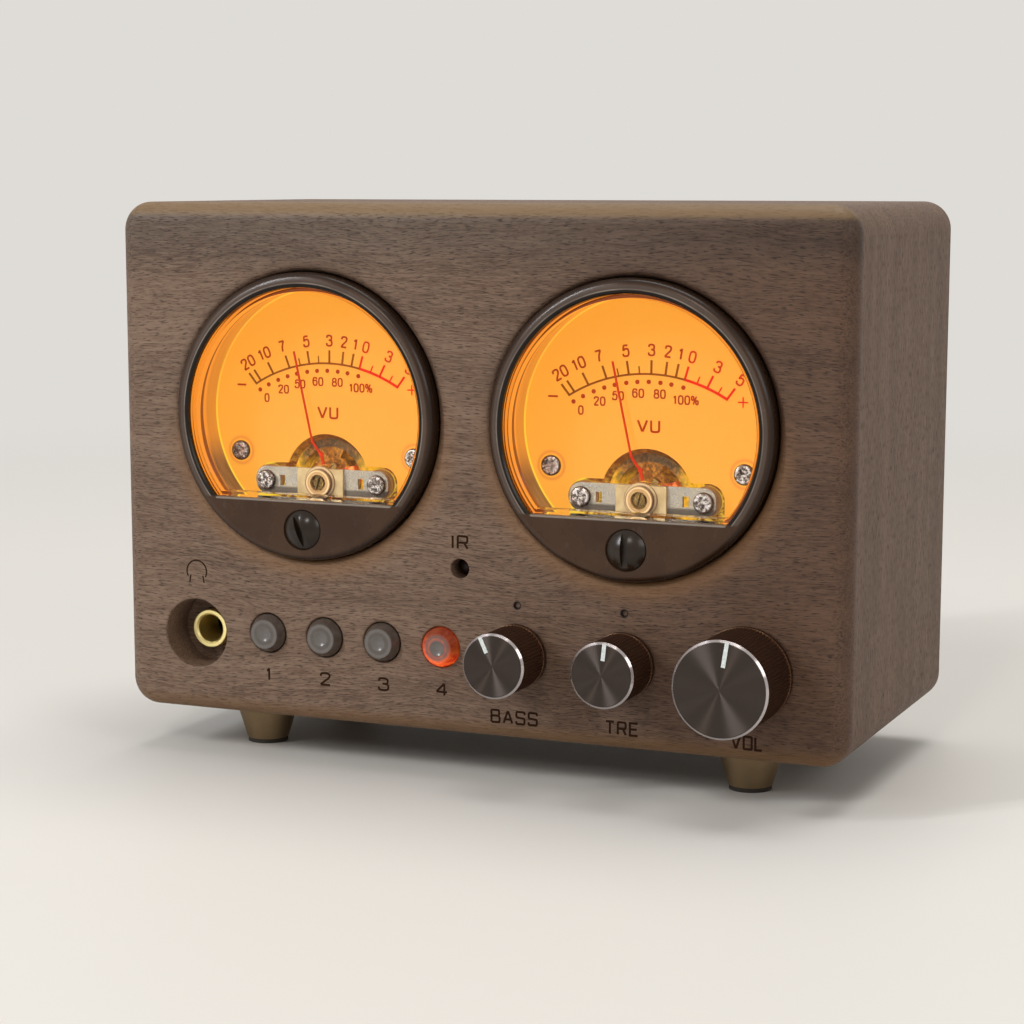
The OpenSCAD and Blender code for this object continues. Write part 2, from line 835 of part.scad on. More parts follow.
module bridge(side) {
    color(zinc) in_meter(side) translate([0, -pivot_drop, bridge_front])
        linear_extrude(bridge_t) difference() {
            round_rect(2 * (bridge_screw_dx + bridge_end), bridge_w, bridge_end - 0.2);
            both_ends(bridge_screw_dx) circle(small_shank_r + 0.1);
            both_ends(bridge_screw_dx - bridge_slot_in) square(bridge_slot, center = true);
            circle(bush_tail_r + fit);
        }
}

// Moulded bush that insulates the front pivot from the bridge
module bridge_bush(side) {
    color("#cfc4a6") on_axis(side) difference() {
        union() {
            translate([-bush_plate_w / 2, -bridge_w / 2, bridge_front - bush_plate_t])
                cube([bush_plate_w, bridge_w, bush_plate_t]);
            translate([0, 0, bridge_front - bush_nose]) cylinder(r = bush_nose_r, h = bush_nose);
            translate([0, 0, bridge_front - bush_step]) cylinder(r = bush_step_r, h = bush_step);
            translate([0, 0, bridge_front]) cylinder(r = bush_tail_r, h = bush_tail_end - bridge_front);
        }
        translate([0, 0, bridge_front - bush_nose - past])
            cylinder(r = pivot_screw_r + fit, h = bush_tail_end);
    }
}

// Slotted screw with a cone that holds one end of the staff, cone at z = 0
module pivot_screw() {
    slot_w = 0.55;
    slot_depth = 0.6;
    nose_r = pivot_screw_r - 0.6;
    nose_l = 0.7;
    difference() {
        union() {
            translate([0, 0, -pivot_screw_l]) cylinder(r = nose_r, h = nose_l + eps);
            translate([0, 0, nose_l - pivot_screw_l]) cylinder(r = pivot_screw_r, h = pivot_screw_l - nose_l);
        }
        translate([0, 0, -cone_depth]) cylinder(r1 = 0.02, r2 = 0.62, h = cone_depth + eps);
        translate([-pivot_screw_r - past, -slot_w / 2, -pivot_screw_l - past])
            cube([2 * (pivot_screw_r + past), slot_w, slot_depth + past]);
    }
}

module pivot_screws() {
    color(gold) for (side = [-1, 1]) on_axis(side) {
        translate([0, 0, front_cone_z]) rotate([0, 0, 75]) pivot_screw();
        translate([0, 0, rear_cone_z]) mirror([0, 0, 1]) pivot_screw();
    }
}

module meter_screws() {
    color(steel) for (side = [-1, 1]) in_meter(side) {
        both_ends(dial_screw_dx, -dial_screw_drop)
            translate([0, 0, dial_depth]) rotate([0, 0, 30]) meter_screw();
        both_ends(bridge_screw_dx, -pivot_drop)
            translate([0, 0, bridge_front]) rotate([0, 0, 15]) meter_screw();
    }
}

// One edge of the hairspring's ribbon, off its middle line by side * half its thickness
function hair_edge(side) = [
    for (i = [0:hair_steps])
        let (a = 360 * hair_turns * i / hair_steps)
        (hair_r + hair_pitch * a / 360 + side * hair_t / 2) * [cos(a + hair_start), sin(a + hair_start)]
];
echo(hairspring_least_gap = hair_pitch - hair_t);

module hairspring(side) {
    outer = hair_edge(1);
    inner = hair_edge(-1);
    color("#c9a94f") on_axis(side)
        translate([0, 0, hair_z])
            linear_extrude(hair_w)
                polygon(concat(outer, [for (i = [len(inner) - 1:-1:0]) inner[i]]));
}

// Staff end with its cone towards -z, root at z = 0
module pivot_tip(l) {
    translate([0, 0, -l + pivot_tip]) cylinder(r = staff_r, h = l - pivot_tip);
    translate([0, 0, -l]) cylinder(r1 = 0.05, r2 = staff_r, h = pivot_tip);
}

// Moving coil: a flat ring of winding on its former round the core, with a staff at each end
module moving_coil(side) {
    l = coil_end - coil_z;
    color("#b5733a") on_axis(side, needle_rest) {
        difference() {
            union() {
                translate([-coil_out, -coil_w / 2, coil_z]) cube([2 * coil_out, coil_w, l]);
                both_flanges(l);
            }
            translate([-coil_in, -coil_w, coil_z + coil_bar])
                cube([2 * coil_in, 2 * coil_w, l - 2 * coil_bar]);
        }
        translate([0, 0, coil_z]) pivot_tip(coil_z - front_cone_z + 0.2);
        translate([0, 0, coil_end]) mirror([0, 0, 1]) pivot_tip(rear_cone_z - coil_end + 0.2);
    }
}

// Thin edges of the former on both sides of the winding
module both_flanges(l) {
    for (s = [-1, 1])
        translate([-coil_out - 0.12, s * (coil_w / 2 - 0.1) - 0.1, coil_z - 0.12])
            cube([2 * coil_out + 0.24, 0.2, l + 0.24]);
}

// Flat strip from the origin to the point p
module strip(p, w) {
    rotate(atan2(p[1], p[0])) translate([0, -w / 2]) square([norm(p), w]);
}

// Needle: a cross with three balance weights on a collet, and a wire bent forwards and sideways
module needle(side) {
    root = [0.1, 6.2];
    low_bend = [-0.45, 7.9, (needle_z + needle_front_z) / 2];
    bend = [-0.8, 9.6, needle_front_z];
    weights = [[-5.4, -1.2], [5.4, -1.2], [0, -5.2]];
    weight_r = 0.5;
    weight_l = 0.9;
    color("#c3341b") on_axis(side, needle_rest) difference() {
        union() {
            translate([0, 0, hub_z]) linear_extrude(hub_t) {
                circle(hub_r);
                strip(root, 2.4 * needle_r);
                for (p = weights) strip(p, 1.6 * needle_r);
            }
            translate([0, 0, collet_z]) cylinder(r = collet_r, h = hub_z - collet_z + eps);
            translate([root[0], root[1], hub_z - 0.1]) cylinder(r = 2 * needle_r, h = hub_t + 0.2);
            wire([root[0], root[1], needle_z], low_bend, needle_r * 1.2);
            translate(low_bend) sphere(needle_r * 1.4);
            wire(low_bend, bend, needle_r * 1.2);
            translate(bend) sphere(needle_r * 1.4);
            wire(bend, [0, needle_l, needle_front_z], needle_r);
            for (p = weights)
                translate([p[0], p[1], needle_z - weight_l / 2]) cylinder(r = weight_r, h = weight_l);
        }
        translate([0, 0, collet_z - 1]) cylinder(r = staff_r + fit, h = 3);
    }
}

// Magnet core with the two cast lugs that hold it in the yoke, clear of the coil's sweep
module magnet_core(side) {
    lug = 24;
    color("#6f6f73") on_axis(side) translate([0, 0, core_z]) {
        cylinder(r = core_r, h = core_l);
        intersection() {
            tube(yoke_in - fit, core_r - 1, core_l);
            for (s = [-1, 1])
                linear_extrude(core_l)
                    polygon([
                        [0, 0],
                        [2 * core_r * tan(lug), 2 * s * core_r],
                        [-2 * core_r * tan(lug), 2 * s * core_r]
                    ]);
        }
    }
}

module iron_yoke(side) {
    color("#77746c") on_axis(side) translate([0, 0, core_z]) tube(yoke_out, yoke_in, core_l);
}

// Domed zero screw with its retaining collar and eccentric pin
module zero_screw(side) {
    slot_w = 1.5;
    slot_depth = 1.3;
    slot_turn = side < 0 ? 20 : 0;
    ball_r = (zero_r * zero_r + zero_dome * zero_dome) / (2 * zero_dome);
    color("#161616") in_meter(side) translate([0, -zero_drop, 0]) {
        difference() {
            intersection() {
                translate([0, 0, zero_head_z - slip - zero_dome + ball_r]) sphere(ball_r);
                translate([0, 0, zero_head_z - slip - 2 * zero_dome]) cylinder(r = zero_r, h = 2 * zero_dome);
            }
            rotate([0, 0, slot_turn])
                translate([-slot_w / 2, -zero_r - past, zero_head_z - slip - zero_dome - past])
                    cube([slot_w, 2 * (zero_r + past), slot_depth + past]);
        }
        translate([0, 0, zero_head_z - 0.2]) cylinder(r = zero_shank_r, h = face_back - zero_head_z + 0.4);
        translate([0, 0, face_back + 0.1]) cylinder(r = zero_collar_r, h = 0.8);
        translate([0, zero_throw, face_back + 0.5])
            cylinder(r = zero_pin_r, h = zero_pin_end - face_back - 0.5);
    }
}

// Flat arm round the bush's tail: its fork takes the eccentric pin, its tab holds the hairspring
module zero_arm(side) {
    ring_in = bush_tail_r + slip;
    ring_out = ring_in + arm_ring;
    fork_w = 2 * zero_pin_r + 0.3;
    fork_l = zero_reach - zero_throw + zero_pin_r + 0.6;
    tab_r = hair_end_r + hair_t / 2 + slip;
    color(brass) on_axis(side) {
        translate([0, 0, arm_z]) linear_extrude(arm_t) difference() {
            union() {
                circle(ring_out);
                translate([-fork_w / 2 - 0.9, -fork_l]) square([fork_w + 1.8, fork_l]);
                rotate(-hair_end) translate([-0.7, 0]) square([1.4, tab_r + 0.6]);
            }
            circle(ring_in);
            translate([-fork_w / 2, -fork_l - 1]) square([fork_w, fork_l - zero_reach + zero_throw + 3]);
        }
        rotate([0, 0, -hair_end])
            translate([-0.7, tab_r, arm_z])
                cube([1.4, 0.6, hair_z + hair_w - arm_z]);
    }
}

// ---------------------------------------------------------------- meter terminals

module at_terminals() {
    for (i = [-1.5:1.5]) translate([i * terminal_pitch, -terminal_drop, 0]) children();
}

module meter_terminals() {
    color(gold) for (side = [-1, 1]) in_meter(side) at_terminals() {
        translate([0, 0, cup_floor - 0.5]) cylinder(r = terminal_head_r, h = 0.5);
        translate([0, 0, cup_floor - eps]) cylinder(r = terminal_r, h = cup_back_t + terminal_l + eps);
    }
}

// ---------------------------------------------------------------- controls

// Outline of a shaft with its flat; grow widens it for the knob's bore
module shaft_outline(grow) {
    intersection() {
        circle(shaft_r + grow);
        translate([-2 * shaft_r, -shaft_r - grow - 1])
            square([4 * shaft_r, 2 * shaft_r + 2 * grow + 1 - shaft_flat]);
    }
}

// Knob: a plain band at the rear, a knurled side, a fine groove and a bevelled rim round the face
module knob(r, l, mark_in) {
    teeth = round(r * 8);
    tooth_out = r - 0.08;
    tooth_in = r - 0.3;
    band = 1.2;
    neck = 0.3;
    rim = 0.5;
    bevel = 0.6;
    mark_w = 1;
    mark_depth = 0.3;
    knurl_l = l - band - neck - rim - bevel;
    difference() {
        translate([0, 0, -knob_gap - l]) {
            cylinder(r1 = r - bevel, r2 = r, h = bevel);
            translate([0, 0, bevel]) cylinder(r = r, h = rim);
            translate([0, 0, bevel + rim - eps]) cylinder(r = tooth_in - 0.15, h = neck + 2 * eps);
            translate([0, 0, bevel + rim + neck])
                linear_extrude(knurl_l + eps)
                    polygon([
                        for (i = [0:2 * teeth - 1])
                            (i % 2 == 0 ? tooth_out : tooth_in) * [cos(180 * i / teeth), sin(180 * i / teeth)]
                    ]);
            translate([0, 0, l - band]) cylinder(r = r, h = band);
        }
        translate([0, 0, -knob_gap - cavity_depth]) cylinder(r = cavity_r, h = cavity_depth + 1);
        translate([0, 0, -knob_gap - cavity_depth - knob_bore_l])
            linear_extrude(knob_bore_l + 1)
                shaft_outline(fit);
        translate([-mark_w / 2, mark_in, -knob_gap - l - 1]) cube([mark_w, r, 1 + mark_depth]);
    }
}

module tone_knob(x, rest) {
    color(anodised) face_on(x, knob_z)
        rotate([0, 0, -rest])
            knob(tone_knob_r, tone_knob_l, 3.2);
}

module bass_knob() {
    tone_knob(bass_x, bass_rest);
}

module treble_knob() {
    tone_knob(treble_x, treble_rest);
}

module volume_knob() {
    color(anodised) face_on(volume_x, knob_z)
        rotate([0, 0, -volume_rest])
            knob(volume_knob_r, volume_knob_l, 4.9);
}

// Control shaft: round in its bush, with a flat inside the knob
module control_shaft(x, rest) {
    color(steel) face_on(x, knob_z) rotate([0, 0, -rest]) {
        translate([0, 0, -knob_gap - cavity_depth])
            cylinder(r = shaft_r, h = shaft_root + knob_gap + cavity_depth);
        translate([0, 0, -shaft_end]) linear_extrude(shaft_end) shaft_outline(0);
    }
}

module bass_shaft() {
    control_shaft(bass_x, bass_rest);
}

module treble_shaft() {
    control_shaft(treble_x, treble_rest);
}

module volume_shaft() {
    control_shaft(volume_x, volume_rest);
}

// Threaded neck of a potentiometer with the shaft's running bore
module pot_neck() {
    neck_out = nut_t + 0.3;
    translate([0, 0, -neck_out]) cylinder(r = bush_thread_r, h = neck_out + pot_front + eps);
}

module pot_bore() {
    translate([0, 0, -nut_t - past]) cylinder(r = shaft_r + slip, h = shaft_root + nut_t + past + room);
}

module potentiometers() {
    color("#3c4a40") {
        for (x = [bass_x, treble_x]) face_on(x, knob_z) difference() {
            union() {
                translate([-tone_body[0] / 2, -tone_body[1] / 2, pot_front])
                    cube([tone_body[0], tone_body[1], pcb_front - pot_front]);
                pot_neck();
            }
            pot_bore();
        }
        face_on(volume_x, knob_z) difference() {
            union() {
                translate([0, 0, pot_front]) cylinder(r = volume_body_r, h = pcb_front - pot_front);
                pot_neck();
            }
            pot_bore();
        }
    }
}

module control_nuts() {
    color(steel) for (x = [bass_x, treble_x, volume_x])
        face_on(x, knob_z)
            translate([0, 0, -nut_t])
                difference() {
                    cylinder(r = nut_af / sqrt(3), h = nut_t, $fn = 6);
                    translate([0, 0, -past]) cylinder(r = bush_thread_r + fit, h = nut_t + 2 * past);
                }
}

// Button places from left to right
module at_buttons() {
    for (i = [0:button_count - 1]) translate([button_x + i * button_step, button_z, 0]) children();
}

// Milky button cap: tapered nose with a dimple, a flange and a stem
module button(i) {
    flange_back = button_flange_z + button_flange_t;
    color(milky) face_on(button_x + i * button_step, button_z) difference() {
        union() {
            translate([0, 0, -button_out]) cylinder(r1 = button_face_r, r2 = button_r, h = button_out);
            cylinder(r = button_r, h = button_flange_z + eps);
            translate([0, 0, button_flange_z]) cylinder(r = button_flange_r, h = button_flange_t);
            translate([0, 0, flange_back - eps]) cylinder(r = button_stem_r, h = switch_stem - flange_back);
        }
        translate([0, 0, -button_out - button_dimple_r + button_dimple]) sphere(r = button_dimple_r);
    }
}

module button_switches() {
    color("#101010") face_on() at_buttons() difference() {
        translate([-switch_w / 2, -switch_w / 2, switch_front])
            cube([switch_w, switch_w, pcb_front - switch_front]);
        translate([0, 0, switch_front - past])
            cylinder(r = button_stem_r + neck_gap, h = switch_well - switch_front + past);
    }
}

module headphone_bush() {
    end = pcb_back + bush_seat;
    color(gold) face_on(jack_x, jack_z) translate([0, 0, bush_depth]) difference() {
        rotate_extrude() edge_section(bush_r, end - bush_depth, 0.25);
        translate([0, 0, -past]) cylinder(r = plug_r, h = end);
        translate([0, 0, -eps]) cylinder(r1 = plug_r + 0.4, r2 = plug_r, h = 0.4);
    }
}

// Two leaf springs in the socket, one above and one below the plug
module headphone_contacts() {
    w = 2.5;
    t = 0.3;
    high = plug_r - 0.35;
    low = plug_r - 1.25;
    front = pcb_back + bush_seat + 0.5;
    end = pcb_back + jack_l - jack_end_t;
    color(gold) face_on(jack_x, jack_z)
        for (turn = [0, 180])
            rotate([0, 0, turn])
                translate([w / 2, 0, 0])
                    rotate([0, -90, 0])
                        linear_extrude(w)
                            polygon([
                                [front, high - t], [front + 2, low - t], [front + 4, high - t],
                                [end, high - t], [end, high],
                                [front + 4, high], [front + 2, low], [front, high]
                            ]);
}

module headphone_socket() {
    color("#141414") face_on(jack_x, jack_z) difference() {
        translate([-jack_w / 2, -jack_w / 2, pcb_back]) cube([jack_w, jack_w, jack_l]);
        translate([0, 0, pcb_back - past]) cylinder(r = bush_r + fit, h = bush_seat + past);
        translate([0, 0, pcb_back]) cylinder(r = jack_chamber_r, h = jack_l - jack_end_t);
    }
}

module remote_receiver() {
    lens_r = ir_r - 0.15;
    front = board_t / 2 + pocket_gap;
    color("#1a1212") face_on(ir_x, ir_z) {
        translate([-ir_body[0] / 2, -ir_body[1] / 2, front]) cube(ir_body);
        translate([0, 0, front - ir_lens_out]) cylinder(r = lens_r, h = ir_lens_out + eps);
        translate([0, 0, front - ir_lens_out]) sphere(lens_r);
        for (i = [-1:1])
            translate([i * ir_body[0] * 0.3 - ir_leg / 2, -ir_body[1] / 2 + ir_leg, front + ir_body[2] - eps])
                cube([ir_leg, ir_leg, pcb_front - front - ir_body[2] + eps]);
    }
}

// ---------------------------------------------------------------- boards and rear

// Control board below the meters, with a tab up to the receiver
module front_board() {
    edge = 1.5;
    low = wall + edge;
    top = meter_z - cup_r - 4;
    tab_w = 12;
    tab_top = ir_z + 5;
    color("#1f5f3a") face_on(0, 0, pcb_front)
        linear_extrude(pcb_t) difference() {
            union() {
                translate([-in_w / 2 + edge, low]) square([in_w - 2 * edge, top - low]);
                translate([ir_x - tab_w / 2, low]) square([tab_w, tab_top - low]);
            }
            translate([jack_x, jack_z]) circle(bush_r + neck_gap);
        }
}

// Main board with four relays and three capacitors in a row between the front and the sockets
module main_board() {
    relay = [13, 8, 10];
    relay_pitch = 18;
    relays_x = -41.5;
    capacitor_r = 4;
    capacitor_h = 12;
    capacitor_pitch = 10;
    capacitors_x = 30;
    color("#1f5f3a") difference() {
        translate([-main_x, front_y + main_front, base_z + main_z])
            cube([2 * main_x, main_rear - main_front, pcb_t]);
        at_spacers() translate([0, 0, base_z + main_z - past]) cylinder(r = clear_r, h = pcb_t + 2 * past);
    }
    color("#2b2b2b") translate([0, front_y + part_y, base_z + main_z + pcb_t - eps]) {
        for (i = [0:3])
            translate([relays_x + i * relay_pitch - relay[0] / 2, -relay[1] / 2, 0])
                cube(relay);
        for (i = [0:2])
            translate([capacitors_x + i * capacitor_pitch, 0, 0])
                cylinder(r = capacitor_r, h = capacitor_h);
    }
}

module board_spacers() {
    color(brass) at_spacers()
        translate([0, 0, base_z + wall])
            tube(screw_r + spacer_wall, clear_r, spacer_h);
}

// Phono socket places: five columns of two
module at_phonos() {
    for (i = [-2:2], j = [0, 1])
        face_on(phono_x + i * phono_dx, phono_z + j * phono_dz, rear_face - rear_t)
            children();
}

// Barrel with a flange inside the panel, a collar through it and a relief before the plug's seat
module phono_barrels() {
    r_in = phono_r - phono_wall;
    collar_l = socket_flange_t + rear_t + phono_collar_out;
    seat = rear_t + phono_collar_out + phono_relief[1];
    color(gold) at_phonos() {
        translate([0, 0, -socket_flange_t]) {
            tube(phono_r + 2 * phono_collar, r_in, socket_flange_t);
            tube(phono_r + phono_collar, r_in, collar_l);
            tube(phono_r - phono_relief[0], r_in, collar_l + phono_relief[1] + eps);
        }
        translate([0, 0, seat]) tube(phono_r, r_in, rear_t + phono_l - seat);
    }
}

// Moulded blocks behind the rear panel, their noses filling the barrels round the centre contacts
module phono_blocks() {
    nose_r = phono_r - phono_wall - fit;
    contact_r = 1.65;
    nose_in = 0.5;
    block_h = phono_z + phono_dz + phono_dz / 2 - main_z - pcb_t;
    color("#2a2a2a") {
        for (i = [-2:2])
            face_on(phono_x + i * phono_dx, main_z + pcb_t, socket_front)
                translate([-socket_w / 2, 0, 0])
                    cube([socket_w, block_h, socket_d]);
        at_phonos()
            translate([0, 0, -socket_flange_t - eps])
                tube(nose_r, contact_r, socket_flange_t + rear_t + phono_l - nose_in);
    }
}

module power_socket() {
    body = power_body;
    color("#181818") face_on(power_x, power_z, rear_face - rear_t) {
        difference() {
            union() {
                translate([-body[0] / 2, -body[1] / 2, -body[2]]) cube(body);
                cylinder(r = power_nose_r, h = rear_t + 0.5);
            }
            translate([0, 0, -power_depth]) cylinder(r = power_plug_r, h = power_depth + rear_t + past);
        }
        translate([0, 0, -power_depth - eps]) cylinder(r = power_pin_r, h = power_depth);
    }
}

front_panel();
cabinet_shell();
rear_panel();
case_screws();
feet();
foot_pads();
bezel(-1);  // bezel_left
window(-1);  // window_left
meter_cup(-1);  // meter_cup_left
dial(-1);  // dial_left
bridge(-1);  // bridge_left
bridge_bush(-1);  // bridge_bush_left
hairspring(-1);  // hairspring_left
needle(-1);  // needle_left
moving_coil(-1);  // moving_coil_left
magnet_core(-1);  // magnet_core_left
iron_yoke(-1);  // iron_yoke_left
zero_screw(-1);  // zero_screw_left
zero_arm(-1);  // zero_arm_left
lamp_board(-1);  // lamp_board_left
bezel(1);  // bezel_right
window(1);  // window_right
meter_cup(1);  // meter_cup_right
dial(1);  // dial_right
bridge(1);  // bridge_right
bridge_bush(1);  // bridge_bush_right
hairspring(1);  // hairspring_right
needle(1);  // needle_right
moving_coil(1);  // moving_coil_right
magnet_core(1);  // magnet_core_right
iron_yoke(1);  // iron_yoke_right
zero_screw(1);  // zero_screw_right
zero_arm(1);  // zero_arm_right
lamp_board(1);  // lamp_board_right
pivot_screws();
meter_screws();
meter_terminals();
bass_knob();
treble_knob();
volume_knob();
bass_shaft();
treble_shaft();
volume_shaft();
potentiometers();
control_nuts();
button(0);  // button_1
button(1);  // button_2
button(2);  // button_3
button(3);  // button_4
button_switches();
headphone_bush();
headphone_contacts();
headphone_socket();
remote_receiver();
front_board();
main_board();
board_spacers();
phono_barrels();
phono_blocks();
power_socket();
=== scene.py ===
import math

import bmesh
import bpy
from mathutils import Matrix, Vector


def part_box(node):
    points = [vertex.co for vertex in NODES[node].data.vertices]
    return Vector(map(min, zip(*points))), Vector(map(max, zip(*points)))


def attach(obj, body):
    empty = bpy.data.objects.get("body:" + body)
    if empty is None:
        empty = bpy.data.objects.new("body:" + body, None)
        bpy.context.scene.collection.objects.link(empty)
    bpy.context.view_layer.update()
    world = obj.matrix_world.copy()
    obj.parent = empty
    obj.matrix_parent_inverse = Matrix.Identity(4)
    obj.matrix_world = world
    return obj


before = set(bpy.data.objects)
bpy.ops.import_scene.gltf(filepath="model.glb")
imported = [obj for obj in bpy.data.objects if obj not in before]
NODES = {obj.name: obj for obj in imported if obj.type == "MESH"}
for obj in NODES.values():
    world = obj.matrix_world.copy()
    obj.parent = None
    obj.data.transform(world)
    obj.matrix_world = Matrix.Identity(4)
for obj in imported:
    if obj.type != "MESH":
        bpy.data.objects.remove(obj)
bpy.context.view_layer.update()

MM = 0.001
SIDES = ("left", "right")
KNOBS = ("bass_knob", "treble_knob", "volume_knob")


def middle(node):
    """Middle of a node's box."""
    low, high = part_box(node)
    return (low + high) / 2


def add_object(name, data):
    """A new object in the scene."""
    thing = bpy.data.objects.new(name, data)
    bpy.context.scene.collection.objects.link(thing)
    return thing


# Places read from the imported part, in metres. The two meters mirror each other in x.
front_low, front_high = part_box("front_panel")
bezel_low, bezel_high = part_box("bezel_right")
FRONT_Y = front_low.y
BASE_Z = front_low.z
TOP_Z = front_high.z
WIDTH = front_high.x - front_low.x
DIAL_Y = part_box("dial_left")[0].y
KNOB_Z = middle("volume_knob").z
METER_Z = middle("bezel_left").z
METER_X = middle("bezel_right").x
PIVOT_Z = middle("magnet_core_right").z
BEZEL_R = (bezel_high.x - bezel_low.x) / 2
CHORD_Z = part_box("window_right")[0].z

# What no box gives, in metres: the window's radius, the x and z of the right meter's small screws,
# and how far the burnt pips stand over the axes of the tone knobs
WINDOW_R = 0.0292
DIAL_SCREWS = tuple((METER_X + x, METER_Z - 0.0094) for x in (0.0223, -0.0223))
BRIDGE_SCREWS = tuple((METER_X + x, PIVOT_Z) for x in (0.0141, -0.0141))
PIP_RISE = 0.0112


def linear(red, green, blue):
    """A screen colour from 0 to 255 as the linear colour that shaders take."""
    def channel(value):
        value = value / 255
        return value / 12.92 if value <= 0.04045 else ((value + 0.055) / 1.055) ** 2.4
    return (channel(red), channel(green), channel(blue), 1)


def toned(colour, factor):
    """A colour made darker or lighter."""
    return tuple(min(1, channel * factor) for channel in colour[:3]) + (1,)


# ---------------------------------------------------------------- node graphs


class Graph:
    """A node graph. A number, a colour or another node's output feeds any input."""

    def __init__(self, tree):
        self.tree = tree
        self.tree.nodes.clear()

    def feed(self, socket, value):
        if isinstance(value, bpy.types.NodeSocket):
            self.tree.links.new(value, socket)
        else:
            socket.default_value = value

    def add(self, kind, inputs=(), **settings):
        node = self.tree.nodes.new("ShaderNode" + kind)
        for key, value in settings.items():
            setattr(node, key, value)
        for key, value in dict(inputs).items():
            self.feed(node.inputs[key], value)
        return node

    def math(self, operation, *values):
        node = self.add("Math", operation=operation)
        for socket, value in zip(node.inputs, values):
            self.feed(socket, value)
        return node.outputs[0]

    def seen(self):
        """1 where the camera, a mirror or glass looks, 0 where light is gathered."""
        path = self.add("LightPath").outputs
        straight = self.math("MAXIMUM", path["Is Camera Ray"], path["Is Transmission Ray"])
        return self.math("MAXIMUM", straight, path["Is Glossy Ray"])

    def blend(self, share, first, second):
        """One shader faded into another."""
        mix = self.add("MixShader")
        for socket, value in zip(mix.inputs, (share, first, second)):
            self.feed(socket, value)
        return mix.outputs[0]


class Paint(Graph):
    """One material's node graph, painted by place."""

    def __init__(self, name):
        self.material = bpy.data.materials.new(name)
        self.material.use_nodes = True
        super().__init__(self.material.node_tree)
        self.place = self.add("TexCoord").outputs["Object"]

    def axes(self):
        """The place's x, y and z."""
        return tuple(self.add("SeparateXYZ", {"Vector": self.place}).outputs)

    def join(self, x, y, z):
        return self.add("CombineXYZ", {"X": x, "Y": y, "Z": z}).outputs[0]

    def scaled(self, x, y, z, vector=None):
        """The place stretched: features are 1/x, 1/y and 1/z metres long."""
        inputs = {0: vector or self.place, 1: (x, y, z)}
        return self.add("VectorMath", inputs, operation="MULTIPLY").outputs[0]

    def noise(self, vector, scale=1, detail=2, rough=0.5):
        inputs = {"Vector": vector, "Scale": scale, "Detail": detail, "Roughness": rough}
        return self.add("TexNoise", inputs).outputs["Fac"]

    def span(self, value, low, high, out_low=0, out_high=1, smooth=False):
        """The value from low to high mapped to out_low to out_high, and held beyond."""
        inputs = {"Value": value, "From Min": low, "From Max": high, "To Min": out_low, "To Max": out_high}
        kind = "SMOOTHSTEP" if smooth else "LINEAR"
        return self.add("MapRange", inputs, interpolation_type=kind).outputs[0]

    def mix(self, share, first, second, kind="MIX"):
        """One colour faded into another."""
        inputs = {"Factor": share, 6: first, 7: second}
        return self.add("Mix", inputs, data_type="RGBA", blend_type=kind).outputs[2]

    def bump(self, height, distance, strength=1):
        return self.add("Bump", {"Height": height, "Distance": distance, "Strength": strength}).outputs[0]

    def mm(self, length):
        """A length in metres as millimetres."""
        return self.math("MULTIPLY", length, 1 / MM)

    def times(self, *masks):
        """Masks and shares multiplied: 1 where every one is 1."""
        share = masks[0]
        for mask in masks[1:]:
            share = self.math("MULTIPLY", share, mask)
        return share

    def away(self, value, centre):
        """Distance of a value from a centre."""
        return self.math("ABSOLUTE", self.math("SUBTRACT", value, centre))

    def stripe(self, value, centre, half, fade):
        """1 within half of the centre, fading to 0."""
        return self.span(self.away(value, centre), half, half + fade, 1, 0, smooth=True)

    def length(self, first, second):
        """Length of a way from its two parts, which stand square to each other."""
        squares = [self.math("MULTIPLY", part, part) for part in (first, second)]
        return self.math("SQRT", self.math("ADD", *squares))

    def around(self, x, z, mirrored=False):
        """Distance from an axis that runs front to back through x and z, and through -x and z."""
        px, _, pz = self.axes()
        dx = self.math("SUBTRACT", self.math("ABSOLUTE", px) if mirrored else px, x)
        return self.length(dx, self.math("SUBTRACT", pz, z))

    def nearest(self, spots):
        """Distance in millimetres from the nearest of the spots, which both meters have."""
        reach = self.around(*spots[0], mirrored=True)
        for spot in spots[1:]:
            reach = self.math("MINIMUM", reach, self.around(*spot, mirrored=True))
        return self.mm(reach)

    def spun(self, x, z):
        """Direction across tool marks that run round a front-to-back axis through x and z."""
        px, _, pz = self.axes()
        way = self.join(self.math("SUBTRACT", px, x), 0, self.math("SUBTRACT", pz, z))
        unit = self.add("VectorMath", {0: way}, operation="NORMALIZE").outputs[0]
        turn = {"vector_type": "VECTOR", "convert_from": "OBJECT", "convert_to": "WORLD"}
        return self.add("VectorTransform", {"Vector": unit}, **turn).outputs[0]

    def shade(self, inputs):
        """The main shader."""
        return self.add("BsdfPrincipled", inputs).outputs[0]

    def finish(self, shader):
        self.add("OutputMaterial", {"Surface": shader})
        return self.material

    def made_of(self, inputs):
        """The material, when the main shader is all it needs."""
        return self.finish(self.shade(inputs))


# ---------------------------------------------------------------- materials


WALNUT_DARK = linear(84, 64, 52)
WALNUT_LIGHT = linear(119, 96, 80)
WALNUT_FLECK = linear(84, 60, 45)
WALNUT_FIBRE = linear(147, 122, 102)
WALNUT_PORE = linear(44, 32, 26)

# What the lamps light from behind: its strength and its colours
GLOW = 0.86
AMBER = linear(250, 150, 44)
AMBER_DEEP = linear(214, 132, 40)
# Painted shade of the glow, low in the cups
AMBER_SHADE = linear(136, 100, 56)
AMBER_JOINT = linear(112, 50, 8)


